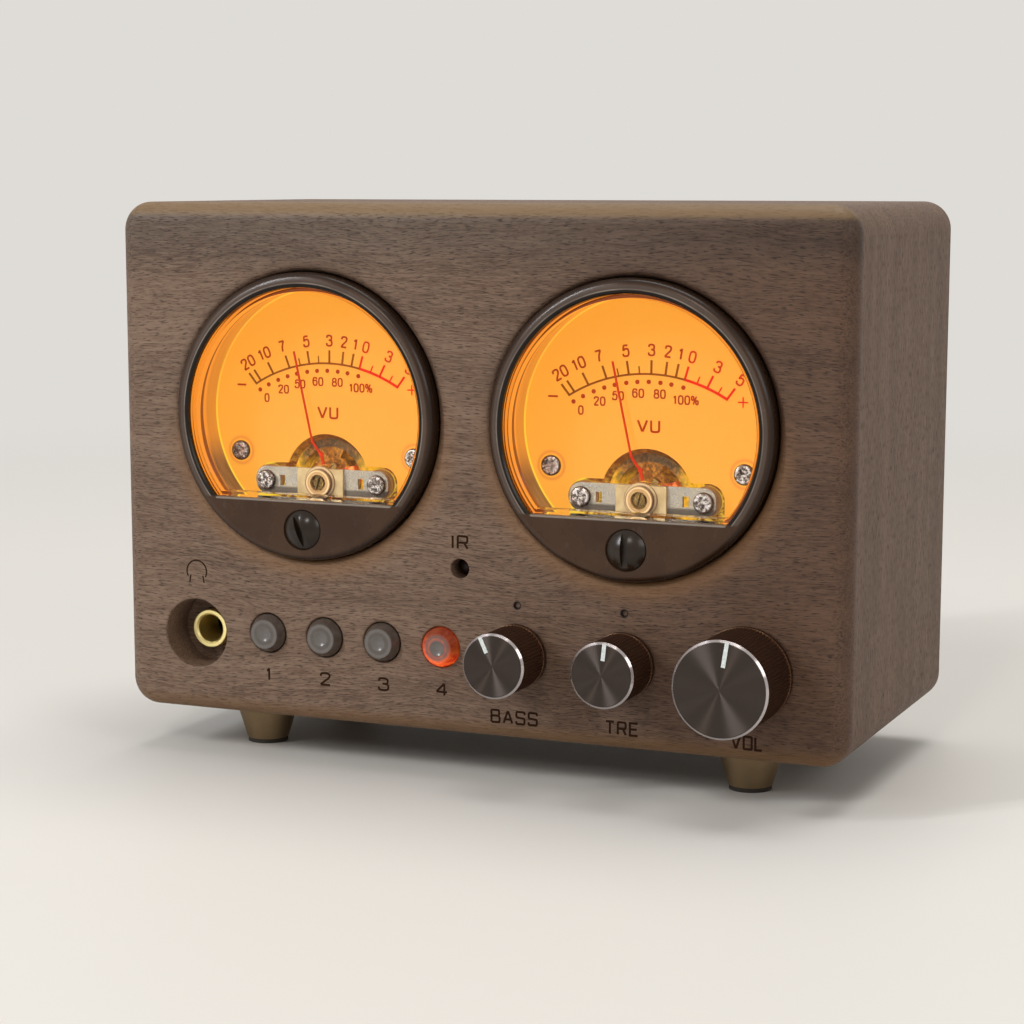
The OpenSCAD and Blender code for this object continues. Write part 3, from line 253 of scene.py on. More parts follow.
def walnut_grain(paint, along, across, deep):
    """Walnut's colour and height from a place along the grain and two places across it, in metres."""
    wander = paint.join(paint.math("MULTIPLY", along, 14), paint.math("MULTIPLY", across, 30), deep)
    sway = paint.math("MULTIPLY", paint.noise(wander, 1, 2), 0.012)
    grain = paint.join(along, paint.math("ADD", across, sway), deep)
    bands = paint.noise(paint.scaled(9, 130, 60, grain), 1, 3, 0.55)
    fibre = paint.noise(paint.scaled(260, 2600, 2600, grain), 1, 3, 0.65)
    pores = paint.noise(paint.scaled(520, 4200, 4200, grain), 1, 1, 0.4)
    pores = paint.span(pores, 0.58, 0.68)
    fleck = paint.noise(paint.scaled(110, 1100, 1100, grain), 1, 3, 0.6)
    colour = paint.mix(paint.span(bands, 0.32, 0.68), WALNUT_DARK, WALNUT_LIGHT)
    colour = paint.mix(paint.span(fleck, 0.42, 0.66, 0, 0.75), colour, WALNUT_FLECK)
    colour = paint.mix(paint.span(fibre, 0.35, 0.7, 0, 0.55), colour, WALNUT_FIBRE)
    colour = paint.mix(paint.times(pores, 0.72), colour, WALNUT_PORE)
    height = paint.math("SUBTRACT", paint.math("MULTIPLY", fibre, 0.4), pores)
    return colour, height


def board_colour(paint, colour):
    """The front board's drift in tone with painted light and shade, and the burnt pips over the tone knobs.

    It carries painted shade that darkens it to the right, is greyer near its top, carries painted shadow
    over the bezels and painted warm light round their lower halves, has a painted highlight along its
    upper edge, and is warmer along its lower edge.
    """
    x, _, z = paint.axes()
    from_meter = paint.around(METER_X, METER_Z, mirrored=True)
    # Painted shade: the board darkens towards its right
    right = paint.span(x, -0.03, 0.08, smooth=True)
    colour = paint.mix(right, colour, (0.55, 0.46, 0.41, 1), "MULTIPLY")
    top = paint.span(z, TOP_Z - 0.018, TOP_Z - 0.006, 0, 0.8, smooth=True)
    colour = paint.mix(top, colour, (0.58, 0.64, 0.7, 1), "MULTIPLY")
    # Painted warm light round the lower halves of the bezels
    halo = paint.span(from_meter, BEZEL_R, BEZEL_R + 0.007, 0.55, 0, smooth=True)
    below = paint.span(z, METER_Z + 0.012, METER_Z - 0.018, smooth=True)
    colour = paint.mix(paint.times(halo, below), colour, linear(136, 98, 62))
    lower_edge = paint.span(z, BASE_Z + 0.0045, BASE_Z + 0.001, 0, 0.6)
    colour = paint.mix(lower_edge, colour, linear(122, 88, 50))
    # Painted highlight along the board's upper edge
    upper_edge_highlight = paint.span(z, TOP_Z - 0.0036, TOP_Z - 0.002, 0, 0.5, smooth=True)
    colour = paint.mix(upper_edge_highlight, colour, linear(138, 110, 74))
    # Painted shadow on the wood over and round the bezels
    shaded = paint.span(from_meter, BEZEL_R + 0.0004, BEZEL_R + 0.0028, 0.5, 0)
    above = paint.span(z, METER_Z - 0.012, METER_Z + 0.006, smooth=True)
    colour = paint.mix(paint.times(shaded, above), colour, (0.5, 0.4, 0.34, 1), "MULTIPLY")
    for knob in ("bass_knob", "treble_knob"):
        reach = paint.mm(paint.around(middle(knob).x, KNOB_Z + PIP_RISE))
        colour = paint.mix(paint.span(reach, 0.6, 0.4, 0, 0.3), colour, linear(60, 44, 34))
        colour = paint.mix(paint.stripe(reach, 0.75, 0.12, 0.2), colour, linear(26, 17, 12))
    return colour


def walnut_board():
    """The front board, its grain running from side to side."""
    paint = Paint("walnut front")
    x, y, z = paint.axes()
    colour, height = walnut_grain(paint, x, z, y)
    return paint.made_of(wood_finish(paint, board_colour(paint, colour), height, 0.3))


def walnut_sleeve():
    """The sleeve, its grain running round the cabinet."""
    paint = Paint("walnut sleeve")
    x, y, z = paint.axes()
    side = paint.math("SUBTRACT", WIDTH / 2, paint.math("ABSOLUTE", x))
    below = paint.math("SUBTRACT", z, BASE_Z)
    above = paint.math("SUBTRACT", TOP_Z, z)
    depth = paint.math("MINIMUM", side, paint.math("MINIMUM", below, above))
    along = paint.math("SUBTRACT", z, x)
    across = paint.math("ADD", y, paint.math("MULTIPLY", depth, 0.9))
    colour, height = walnut_grain(paint, along, across, depth)
    colour = paint.mix(1.0, colour, (0.84, 0.82, 0.81, 1), "MULTIPLY")
    return paint.made_of(wood_finish(paint, colour, height, 0.18))


def wood_finish(paint, colour, height, specular):
    """Oiled wood: its pores are duller than its ribs."""
    return {
        "Base Color": colour,
        "Roughness": paint.span(height, -0.5, 0.4, 0.66, 0.48),
        "Specular IOR Level": specular,
        "Normal": paint.bump(height, 0.00006, 0.7),
    }


def moulded(name, colour, roughness=0.3, grain=2500, depth=0.00002, specular=0.5):
    """Moulded or painted plastic: faint mottling, and fine unevenness in gloss and surface."""
    paint = Paint(name)
    cloud = paint.noise(paint.place, 90, 3)
    fine = paint.noise(paint.place, grain, 2)
    mottled = paint.span(cloud, 0.3, 0.7)
    return paint.made_of({
        "Base Color": paint.mix(mottled, toned(colour, 0.8), toned(colour, 1.15)),
        "Roughness": paint.span(cloud, 0.3, 0.7, roughness * 0.8, roughness * 1.25),
        "Specular IOR Level": specular,
        "Normal": paint.bump(fine, depth, 0.6),
    })


def metal(name, colour, roughness=0.3, grain=3000, depth=0.00001, stretch=(1, 1, 1), tarnish=0.78):
    """Plated or turned metal with fine tool marks along one direction and soft tarnish."""
    paint = Paint(name)
    cloud = paint.noise(paint.place, 160, 3)
    marks = paint.noise(paint.scaled(*stretch), grain, 2)
    return paint.made_of({
        "Base Color": paint.mix(paint.span(cloud, 0.35, 0.7), toned(colour, tarnish), colour),
        "Metallic": 1.0,
        "Roughness": paint.span(marks, 0.3, 0.7, roughness * 0.75, roughness * 1.3),
        "Normal": paint.bump(marks, depth, 0.5),
    })


def bezel_black():
    """Glossy brown-black moulding: painted shade on its inner edge, a painted highlight line outside it,
    a painted grey sheen across its front and painted shade on its round edge.
    """
    paint = Paint("bezel gloss")
    _, _, z = paint.axes()
    cloud = paint.noise(paint.place, 120, 4)
    smear = paint.noise(paint.scaled(420, 100, 160), 1, 4, 0.7)
    from_meter = paint.around(METER_X, METER_Z, mirrored=True)
    outside = paint.mm(paint.math("SUBTRACT", from_meter, WINDOW_R))
    below = paint.mm(paint.math("SUBTRACT", CHORD_Z, z))
    ring = paint.span(below, 0.3, -0.1)
    sill = paint.span(outside, 0.2, -0.1)
    colour = paint.mix(paint.span(cloud, 0.35, 0.7), linear(56, 36, 22), linear(68, 46, 30))
    # Painted sheen: a greyer band across the ring's front
    flat_sheen = paint.times(ring, paint.stripe(outside, 1.2, 0.5, 0.4), 0.5)
    colour = paint.mix(flat_sheen, colour, linear(92, 82, 76))
    # Painted shade on the ring's inner slope
    inner_edge_shade = paint.times(ring, paint.span(outside, 0.85, 0.7))
    colour = paint.mix(inner_edge_shade, colour, linear(16, 10, 5))
    # Painted shade on the round outer edge
    round_edge_shade = paint.span(outside, 1.9, 2.8, 0, 0.75, smooth=True)
    colour = paint.mix(round_edge_shade, colour, linear(30, 20, 15))
    # Painted highlights: broken pale lines along the ring's inner edge and the sill's top edge
    broken = paint.span(cloud, 0.4, 0.6, 0.35, 0.9)
    ring_highlight = paint.times(ring, paint.stripe(outside, 0.95, 0.05, 0.12), broken)
    sill_highlight = paint.times(sill, paint.stripe(below, 0.35, 0.08, 0.25))
    pale = paint.times(paint.math("MAXIMUM", ring_highlight, sill_highlight), 0.7)
    colour = paint.mix(pale, colour, linear(150, 140, 130))
    smeared = paint.times(sill, paint.span(smear, 0.6, 0.72, 0, 0.25))
    return paint.made_of({
        "Base Color": paint.mix(smeared, colour, linear(98, 94, 90)),
        "Roughness": paint.span(cloud, 0.35, 0.75, 0.22, 0.34),
        "Specular IOR Level": 0.25,
        "Normal": paint.bump(cloud, 0.00005, 0.2),
    })


def clear_pane():
    """Clear moulding that lets the lamps through. Its skirt carries their glow, but not over the sill."""
    paint = Paint("clear pane")
    _, y, z = paint.axes()
    ripple = paint.noise(paint.place, 60, 2)
    clear = paint.shade({
        "Base Color": (1.0, 1.0, 1.0, 1),
        "Roughness": 0.015,
        "IOR": 1.2,
        "Transmission Weight": 1.0,
        "Normal": paint.bump(ripple, 0.00002, 0.1),
    })
    depth = paint.math("SUBTRACT", y, FRONT_Y)
    joint_start = paint.span(z, METER_Z - 0.008, METER_Z + 0.018, 0.0008, 0.002)
    joint = paint.span(paint.math("SUBTRACT", depth, joint_start), 0, 0.0002)
    lit = paint.shade({
        "Base Color": linear(90, 46, 14),
        "Roughness": 0.3,
        "Emission Color": paint.mix(joint, AMBER, AMBER_JOINT),
        "Emission Strength": GLOW,
    })
    skirt = paint.span(y, FRONT_Y - 0.0006, FRONT_Y - 0.0004)
    from_meter = paint.around(METER_X, METER_Z, mirrored=True)
    rim = paint.span(from_meter, WINDOW_R - 0.0016, WINDOW_R - 0.0015)
    body = paint.blend(paint.times(skirt, rim), clear, lit)
    through = paint.add("BsdfTransparent").outputs[0]
    shadow = paint.add("LightPath").outputs["Is Shadow Ray"]
    return paint.finish(paint.blend(shadow, body, through))


def dial_amber():
    """Translucent dial lit from behind, a little paler low down, with a faint ring round each screw."""
    paint = Paint("dial amber")
    _, _, z = paint.axes()
    low = paint.span(z, METER_Z - 0.022, METER_Z + 0.02, 1, 0, smooth=True)
    cloud = paint.noise(paint.place, 70, 2)
    colour = paint.mix(low, linear(253, 166, 44), linear(250, 171, 52))
    colour = paint.mix(paint.span(cloud, 0.3, 0.7, 0, 0.1), colour, linear(255, 178, 64))
    ring = paint.times(paint.stripe(paint.nearest(DIAL_SCREWS), 3.1, 0.1, 0.4), 0.7)
    return paint.made_of({
        "Base Color": linear(120, 62, 20),
        "Roughness": 0.6,
        "Specular IOR Level": 0.2,
        "Emission Color": paint.mix(ring, colour, linear(226, 128, 44)),
        "Emission Strength": GLOW,
        "Normal": paint.bump(paint.noise(paint.place, 4000, 1), 0.00001, 0.3),
    })


def cup_clear():
    """Cup with a painted amber glow: a dark joint at its rim, an olive band of deeper painted glow,
    a painted bright line at the dial and painted grey shade low down.

    Its posts by the bridge carry painted glints like gold.
    """
    paint = Paint("cup wall")
    _, y, z = paint.axes()
    depth = paint.mm(paint.math("SUBTRACT", y, FRONT_Y))
    streak = paint.noise(paint.scaled(200, 900, 60), 1, 2)
    grain = paint.span(streak, 0.35, 0.7)
    # Painted glow: a band of deeper amber streaks
    olive = paint.times(paint.span(depth, 4.4, 5.6, smooth=True), paint.span(grain, 0, 1, 0.5, 1))
    colour = paint.mix(olive, AMBER, AMBER_DEEP)
    # Painted shade: the glow turns greyer low down
    low = paint.span(z, METER_Z - 0.004, METER_Z - 0.0135, smooth=True)
    grey = paint.mix(grain, AMBER_SHADE, linear(88, 60, 30))
    colour = paint.mix(paint.times(low, paint.span(depth, 3.4, 4.2)), colour, grey)
    # Painted highlight: a bright line where the wall meets the dial
    downwards = paint.span(z, METER_Z + 0.012, METER_Z - 0.004)
    dial_edge_highlight = paint.mix(downwards, linear(255, 184, 58), linear(255, 214, 58))
    colour = paint.mix(paint.span(depth, 9.35, 9.6, smooth=True), colour, dial_edge_highlight)
    colour = paint.mix(paint.span(depth, 3.1, 2.9), colour, AMBER_JOINT)
    # Painted gold glints on the posts by the bridge, brighter upwards
    from_pivot = paint.around(METER_X, PIVOT_Z, mirrored=True)
    posts = paint.times(paint.span(from_pivot, 0.0205, 0.02), paint.span(depth, 9.7, 9.8))
    glint = paint.noise(paint.scaled(500, 380, 900), 1, 3, 0.7)
    upwards = paint.span(z, PIVOT_Z - 0.002, PIVOT_Z + 0.006, smooth=True)
    shine = paint.mix(upwards, linear(255, 206, 70), linear(150, 92, 30))
    gold = paint.mix(paint.span(glint, 0.46, 0.64), linear(92, 54, 20), shine)
    return paint.made_of({
        "Base Color": linear(90, 50, 18),
        "Roughness": 0.25,
        "Specular IOR Level": 0.3,
        "Emission Color": paint.mix(posts, colour, gold),
        "Emission Strength": GLOW * 0.95,
        "Normal": paint.bump(streak, 0.00008, 0.3),
    })


def zinc():
    """Zinc-plated bridge, matt and speckled, with painted warm light from the lamps
    and painted shade along its lower edge.
    """
    paint = Paint("zinc plate")
    _, _, z = paint.axes()
    fine = paint.noise(paint.place, 3600, 4, 0.7)
    cloud = paint.noise(paint.place, 500, 2)
    # Painted shade along the bridge's lower edge
    lower_edge = paint.span(z, PIVOT_Z - 0.0018, PIVOT_Z - 0.0011, 0.85, 0, smooth=True)
    grey = paint.mix(paint.span(fine, 0.36, 0.64), linear(108, 98, 84), linear(188, 180, 166))
    # Painted warm light from the lamps, in soft patches
    grey = paint.mix(paint.span(cloud, 0.35, 0.65, 0, 0.35), grey, linear(184, 162, 126))
    return paint.made_of({
        "Base Color": paint.mix(lower_edge, grey, linear(66, 52, 38)),
        "Metallic": 0.35,
        "Roughness": paint.span(fine, 0.3, 0.7, 0.4, 0.6),
        "Normal": paint.bump(fine, 0.00004, 0.8),
    })


# Lines on the bush's rings, two of painted shade at its steps and one painted highlight: radius and
# half the width in millimetres, and the colour
BUSH_SHADE_AND_HIGHLIGHT_LINES = (
    (3.13, 0.05, linear(120, 84, 46)),
    (3.8, 0.05, linear(140, 104, 62)),
    (2.75, 0.08, linear(212, 184, 136)),
)


def bush_block():
    """Cream moulding, with tan faces on its rings, painted shade lines between them and a painted
    highlight line.
    """
    paint = Paint("bush block")
    radius = paint.mm(paint.around(METER_X, PIVOT_Z, mirrored=True))
    cloud = paint.noise(paint.place, 300, 3)
    colour = paint.mix(paint.span(cloud, 0.35, 0.65), linear(168, 140, 92), linear(192, 166, 118))
    colour = paint.mix(paint.span(radius, 3.9, 3.8, 0, 0.6), colour, linear(190, 166, 128))
    colour = paint.mix(paint.span(radius, 3.1, 3.0), colour, linear(176, 134, 80))
    for line_r, half, tone in BUSH_SHADE_AND_HIGHLIGHT_LINES:
        colour = paint.mix(paint.stripe(radius, line_r, half, 0.12), colour, tone)
    return paint.made_of({
        "Base Color": colour,
        "Roughness": 0.32,
        "Coat Weight": 0.15,
        "Coat Roughness": 0.1,
        "Normal": paint.bump(cloud, 0.00006, 0.3),
    })


def screw_steel():
    """Small bright screw heads, mottled with painted reflections of what lies round them,
    with painted shade towards their rims.
    """
    paint = Paint("screw steel")
    radius = paint.nearest(DIAL_SCREWS + BRIDGE_SCREWS)
    # Painted glints and dark reflections
    glint = paint.noise(paint.place, 1100, 3, 0.7)
    colour = paint.mix(paint.span(glint, 0.42, 0.58), linear(104, 86, 72), linear(240, 232, 226))
    # Painted shade towards the rims in the base colour
    return paint.made_of({
        "Base Color": paint.mix(paint.span(radius, 1.75, 2.2), colour, linear(84, 66, 50)),
        "Metallic": 0.85,
        "Roughness": 0.22,
        "Normal": paint.bump(glint, 0.0002, 0.9),
    })


def lit_metal(name, dark, bright, glow, roughness=0.35, metallic=0.8):
    """Metal deep in a meter: mottled, with glints of the lamps' amber, and lit beside the movement."""
    paint = Paint(name)
    x, _, z = paint.axes()
    glint = paint.noise(paint.place, 900, 4, 0.7)
    fine = paint.noise(paint.place, 2600, 2)
    glow_low = paint.span(z, PIVOT_Z + 0.0085, PIVOT_Z + 0.006, 0.25, 0.8, smooth=True)
    share = paint.times(paint.span(glint, 0.46, 0.62), glow_low)
    aside = paint.away(paint.math("ABSOLUTE", x), METER_X)
    beside = paint.times(
        paint.span(z, PIVOT_Z + 0.0085, PIVOT_Z + 0.004, smooth=True),
        paint.span(aside, 0.005, 0.009, smooth=True),
        paint.span(glint, 0.3, 0.6, 0.5, 1),
    )
    light = paint.mix(share, (0, 0, 0, 1), glow)
    return paint.made_of({
        "Base Color": paint.mix(paint.span(fine, 0.3, 0.7), dark, bright),
        "Metallic": metallic,
        "Roughness": roughness,
        "Emission Color": paint.mix(beside, light, linear(255, 188, 40)),
        "Emission Strength": paint.span(beside, 0, 1, 0.5, 0.95),
        "Normal": paint.bump(fine, 0.00003, 0.6),
    })


WIRE_PITCH = 0.00022
STAFF_FROM = 0.0058
STAFF_R = 0.0012


def coil_winding():
    """Copper turns on the coil with painted glints and a faint painted amber glow, bright staffs."""
    paint = Paint("coil winding")
    _, y, z = paint.axes()
    turns = paint.math("SINE", paint.math("MULTIPLY", z, 2 * math.pi / WIRE_PITCH))
    reach = paint.away(y, middle("moving_coil_left").y)
    radius = paint.around(METER_X, PIVOT_Z, mirrored=True)
    staff = paint.times(
        paint.span(reach, STAFF_FROM, STAFF_FROM + 0.0001),
        paint.span(radius, STAFF_R, STAFF_R - 0.0002),
    )
    glint = paint.noise(paint.place, 1500, 3)
    copper = paint.mix(paint.span(glint, 0.4, 0.65), linear(168, 66, 26), linear(236, 134, 66))
    return paint.made_of({
        "Base Color": paint.mix(staff, copper, linear(214, 208, 196)),
        "Metallic": 0.9,
        "Roughness": 0.3,
        # The emission is a faint painted glow of the lamps' amber
        "Emission Color": linear(200, 74, 24),
        "Emission Strength": 0.22,
        "Normal": paint.bump(turns, 0.00004, 0.6),
    })


def button_cap(name, x, z, lit):
    """Milky cap: paler middle, darker round it, a painted highlight ring, darker towards its rim;
    a lit one glows through its rim.
    """
    paint = Paint(name)
    radius = paint.mm(paint.around(x, z))
    cloud = paint.noise(paint.place, 700, 3)
    dimple = paint.span(radius, 1.4, 2.0, 1, 0, smooth=True)
    colour = paint.mix(dimple, linear(78, 70, 65), linear(95, 90, 86))
    # Painted highlight ring
    ring = paint.times(paint.stripe(radius, 2.9, 0.1, 0.45), 0.7)
    colour = paint.mix(ring, colour, linear(104, 98, 94))
    rim = paint.span(radius, 3.2, 3.7, 0, 1, smooth=True)
    colour = paint.mix(rim, colour, linear(68, 56, 48))
    colour = paint.mix(paint.span(cloud, 0.35, 0.7, 0, 0.25), colour, linear(112, 104, 99))
    inputs = {
        "Base Color": colour,
        "Roughness": 0.28,
        "Specular IOR Level": 0.4,
        "Coat Weight": 0.2,
        "Coat Roughness": 0.18,
        "Normal": paint.bump(cloud, 0.00004, 0.4),
    }
    if lit:
        wall = paint.span(radius, 2.3, 3.3, 0, 1, smooth=True)
        inputs["Base Color"] = paint.mix(wall, colour, linear(70, 34, 20))
        inputs["Emission Color"] = button_glow(paint, radius, wall, x, z)
        inputs["Emission Strength"] = 0.95
    return paint.made_of(inputs)


def button_glow(paint, radius, wall, x, z):
    """Swirled red light through a cap's wall, strongest to its lower left, and a faint inner halo."""
    px, _, pz = paint.axes()
    rise = paint.math("MULTIPLY", paint.math("SUBTRACT", pz, z), 2)
    slant = paint.math("ADD", paint.math("SUBTRACT", px, x), rise)
    lower_left = paint.span(slant, 0.005, -0.007, 0.2, 1, smooth=True)
    halo = paint.times(paint.stripe(radius, 2.1, 0.1, 0.4), 0.3)
    strength = paint.math("MINIMUM", paint.math("ADD", paint.times(wall, lower_left), halo), 1.0)
    swirl = paint.noise(paint.scaled(700, 500, 900), 1, 3)
    glow = paint.mix(paint.span(swirl, 0.35, 0.62), linear(206, 44, 8), linear(255, 104, 34))
    return paint.mix(strength, linear(24, 10, 6), glow)


# How far behind a knob's front its face and its bevel end
KNOB_FACE = 0.0001
KNOB_BEVEL = 0.0007


def knob_metal(node):
    """Dark anodised knob: spun face, bright turned bevel, darker fine-cut sides whose warm brown is a
    painted reflection of the wood.
    """
    paint = Paint(node.replace("_", " "))
    centre = middle(node)
    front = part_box(node)[0].y
    _, y, _ = paint.axes()
    face = paint.span(y, front + KNOB_FACE, front + KNOB_FACE + 0.0001, 1, 0)
    bright = paint.span(y, front + KNOB_BEVEL, front + KNOB_BEVEL + 0.0001, 1, 0)
    rings = paint.noise(paint.math("MULTIPLY", paint.around(centre.x, centre.z), 9000), 1, 2)
    # The sides' warm brown is a painted reflection of the wood
    side = paint.mix(bright, linear(118, 90, 70), linear(186, 178, 178))
    return paint.made_of({
        "Base Color": paint.mix(face, side, linear(72, 64, 60)),
        "Metallic": 1.0,
        "Roughness": paint.math("ADD", paint.span(bright, 0, 1, 0.36, 0.2), paint.times(face, 0.18)),
        "Anisotropic": 1.0,
        "Tangent": paint.spun(centre.x, centre.z),
        "Normal": paint.bump(paint.times(rings, face), 0.000006, 0.5),
    })


def ink(name, colour, glow=0.0):
    """Printed or burnt marks: slightly uneven and matt. Those on a lit dial are lit through."""
    paint = Paint(name)
    wear = paint.noise(paint.place, 2600, 2)
    body = toned(colour, 1 - glow)
    return paint.made_of({
        "Base Color": paint.mix(paint.span(wear, 0.3, 0.75), toned(body, 0.72), body),
        "Roughness": 0.7,
        "Specular IOR Level": 0.05,
        "Emission Color": colour,
        "Emission Strength": glow,
        "Normal": paint.bump(wear, 0.00001, 0.4),
    })


def circuit_board():
    """Green lacquer over fine tracks."""
    paint = Paint("circuit board")
    tracks = paint.add("TexBrick", {"Vector": paint.place, "Scale": 260.0}).outputs["Fac"]
    return paint.made_of({
        "Base Color": paint.mix(tracks, linear(34, 92, 56), linear(52, 120, 70)),
        "Roughness": 0.35,
        "Normal": paint.bump(tracks, 0.00003, 0.5),
    })


def socket_blocks():
    """Black mouldings whose noses are white in the upper row and red in the lower one."""
    paint = Paint("socket blocks")
    _, y, z = paint.axes()
    barrels_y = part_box("phono_barrels")[0].y
    nose = paint.span(y, barrels_y + 0.0005, barrels_y + 0.001)
    upper = paint.math("GREATER_THAN", z, middle("phono_barrels").z)
    fine = paint.noise(paint.place, 3000, 2)
    tip = paint.mix(upper, linear(150, 22, 18), linear(214, 210, 202))
    return paint.made_of({
        "Base Color": paint.mix(nose, linear(26, 25, 24), tip),
        "Roughness": paint.span(fine, 0.3, 0.7, 0.3, 0.45),
        "Normal": paint.bump(fine, 0.00001, 0.5),
    })


def lamps():
    """White board whose small lamps glow amber."""
    paint = Paint("lamps")
    _, y, _ = paint.axes()
    board_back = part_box("lamp_board_left")[1].y
    lamp = paint.span(y, board_back - 0.0012, board_back - 0.001, 1, 0)
    cloud = paint.noise(paint.place, 900, 2)
    return paint.made_of({
        "Base Color": paint.mix(cloud, linear(205, 203, 196), linear(226, 224, 216)),
        "Roughness": 0.5,
        "Emission Color": linear(255, 168, 66),
        "Emission Strength": paint.math("MULTIPLY", lamp, 12.0),
    })


def dress(node, material):
    """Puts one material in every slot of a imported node."""
    slots = NODES[node].data.materials
    for index in range(len(slots)):
        slots[index] = material
    if not len(slots):
        slots.append(material)


def paint_nodes():
    """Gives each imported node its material."""
    steel = metal("steel", linear(200, 192, 184), 0.26)
    brass = metal("brass", linear(196, 158, 92), 0.3)
    gold = metal("gold", linear(255, 236, 166), 0.4, depth=0.000004, tarnish=0.94)
    dark_plastic = moulded("black plastic", linear(24, 24, 24), 0.4)
    board = circuit_board()
    shared = {
        "front_panel": walnut_board(),
        "cabinet_shell": walnut_sleeve(),
        "rear_panel": moulded("powder coat", linear(42, 41, 40), 0.55, grain=1800, depth=0.00006),
        "case_screws": steel,
        "feet": metal("champagne brass", linear(150, 128, 98), 0.48, grain=2200, stretch=(1, 1, 8),
                      tarnish=0.85),
        "foot_pads": moulded("rubber", linear(46, 39, 31), 0.8, grain=1500, depth=0.00005),
        "pivot_screws": metal("pivot brass", linear(168, 134, 78), 0.28, tarnish=0.6),
        "meter_screws": screw_steel(),
        "meter_terminals": brass,
        "bass_shaft": steel,
        "treble_shaft": steel,
        "volume_shaft": steel,
        "potentiometers": metal("pressed steel", linear(170, 168, 162), 0.4),
        "control_nuts": steel,
        "button_switches": dark_plastic,
        "headphone_bush": gold,
        "headphone_contacts": brass,
        "headphone_socket": dark_plastic,
        "remote_receiver": moulded("receiver", linear(34, 21, 15), 0.4, specular=0.25),
        "front_board": board,
        "main_board": board,
        "board_spacers": brass,
        "phono_barrels": gold,
        "phono_blocks": socket_blocks(),
        "power_socket": dark_plastic,
    }
    in_each_meter = {
        "bezel": bezel_black(),
        "window": clear_pane(),
        "meter_cup": cup_clear(),
        "dial": dial_amber(),
        "bridge": zinc(),
        "bridge_bush": bush_block(),
        "hairspring": lit_metal("spring bronze", linear(170, 110, 44), linear(236, 176, 84),
                                glow=linear(255, 206, 60)),
        # The needle's glow is painted light from the lit dial behind it
        "needle": ink("needle lacquer", linear(208, 54, 16), glow=0.5),
        "moving_coil": coil_winding(),
        # The magnet's and the iron's warm browns are painted amber light of the lamps
        "magnet_core": lit_metal("magnet", linear(92, 62, 26), linear(176, 112, 46),
                                 glow=linear(255, 166, 44)),
        "iron_yoke": lit_metal("iron", linear(52, 38, 20), linear(104, 78, 42),
                               glow=linear(236, 140, 36), roughness=0.45, metallic=0.6),
        "zero_screw": moulded("screw gloss", linear(34, 22, 11), 0.24, depth=0.000004, specular=0.34),
        "zero_arm": brass,
        "lamp_board": lamps(),
    }
    for node, material in shared.items():
        dress(node, material)
    for name, material in in_each_meter.items():
        for side in SIDES:
            dress(f"{name}_{side}", material)
    for number in range(1, 5):
        node = f"button_{number}"
        spot = middle(node)
        dress(node, button_cap(f"button cap {number}", spot.x, spot.z, lit=number == 4))
    for knob in KNOBS:
        dress(knob, knob_metal(knob))


# ---------------------------------------------------------------- printed and engraved marks


# Letters as a width and strokes in a box 16 high, each stroke as x and z of its points. A stroke that
# starts with "~" is rounded, with "o" also closed.
GLYPHS = {
    "0": (10, "o 0 3 0 13 2.2 16 7.8 16 10 13 10 3 7.8 0 2.2 0"),
    "1": (7, "4.6 0 4.6 16", "4.6 15.3 0.8 12"),
    "2": (10, "~ 0.4 11.6 0.4 16 9.6 16 9.6 10 4.6 5.6 0.1 0", "0 0 10 0"),
    "3": (10, "~ 0.4 12.2 0.6 16 9.4 16 9.4 8.7 4 8.7", "~ 6.4 8.5 10 7.8 10 0 0.4 0 0 4.2"),
    "4": (10, "7.4 0 7.4 16", "7.2 15.8 0.2 5", "0 4.6 10 4.6"),
    "5": (10, "1.6 16 9.2 16", "1.9 16 0.9 8.2", "~ 0.7 8 3 10.8 10 11 10 0 0.4 0 0 4.2"),
    "6": (10, "~ 9.4 12.4 8.8 16 0 16 0 0 10 0 10 10.2 0.6 10.2 0.1 5.4"),
    "7": (10, "0 16 10 16", "~ 9.8 16 4.6 8 3.6 0"),
    "8": (10, "o 0.8 16 9.2 16 9.2 8.6 0.8 8.6", "o 0 8.6 10 8.6 10 0 0 0"),
    "%": (15, "o 0 16 5 16 5 8.4 0 8.4", "o 10 7.6 15 7.6 15 0 10 0", "11.2 16 3.8 0"),
    "A": (10.4, "0 0 5.1 16", "5.3 16 10.4 0", "1.8 4.8 8.6 4.8"),
    "B": (10, "0 0 0 16", "~ 0 16 7 16 9.4 16 9.4 8.6 7 8.6 0 8.6", "~ 6.6 8.4 10 8.2 10 0 7.4 0 0 0"),
    "E": (9.5, "9.5 16 0 16 0 0 9.5 0", "0 8.2 8.6 8.2"),
    "I": (0.1, "0 0 0 16"),
    "L": (9, "0 16 0 0 9 0"),
    "O": (11, "o 0 3 0 13 0 16 3 16 8 16 11 16 11 13 11 3 11 0 8 0 3 0 0 0"),
    "R": (10, "0 0 0 16", "~ 0 16 7 16 9.7 16 9.7 7.6 7 7.6 0 7.6", "6.3 7.6 10 0"),
    "S": (10, "~ 10 12.6 10 16 7 16 3 16 0 16 0 8.5 3 8.5 7 7.8 10 7.8 10 0 7 0 3 0 0 0 0 3.6"),
    "T": (10, "0 16 10 16", "5 16 5 0"),
    "U": (10, "~ 0 16 0 11 0 4 0.4 0 9.6 0 10 4 10 11 10 16"),
    "V": (11.6, "0 16 5.6 0", "6 0 11.6 16"),
}
LETTER_GAP = 5
LETTER_H = 16
# How much prouder each stroke of a text stands than the one before, in millimetres, so that no two
# of them share a plane where they cross
STROKE_RISE = 0.0004
# How far a mitred corner may reach beyond the stroke's own width
MITRE_LIMIT = 1.4


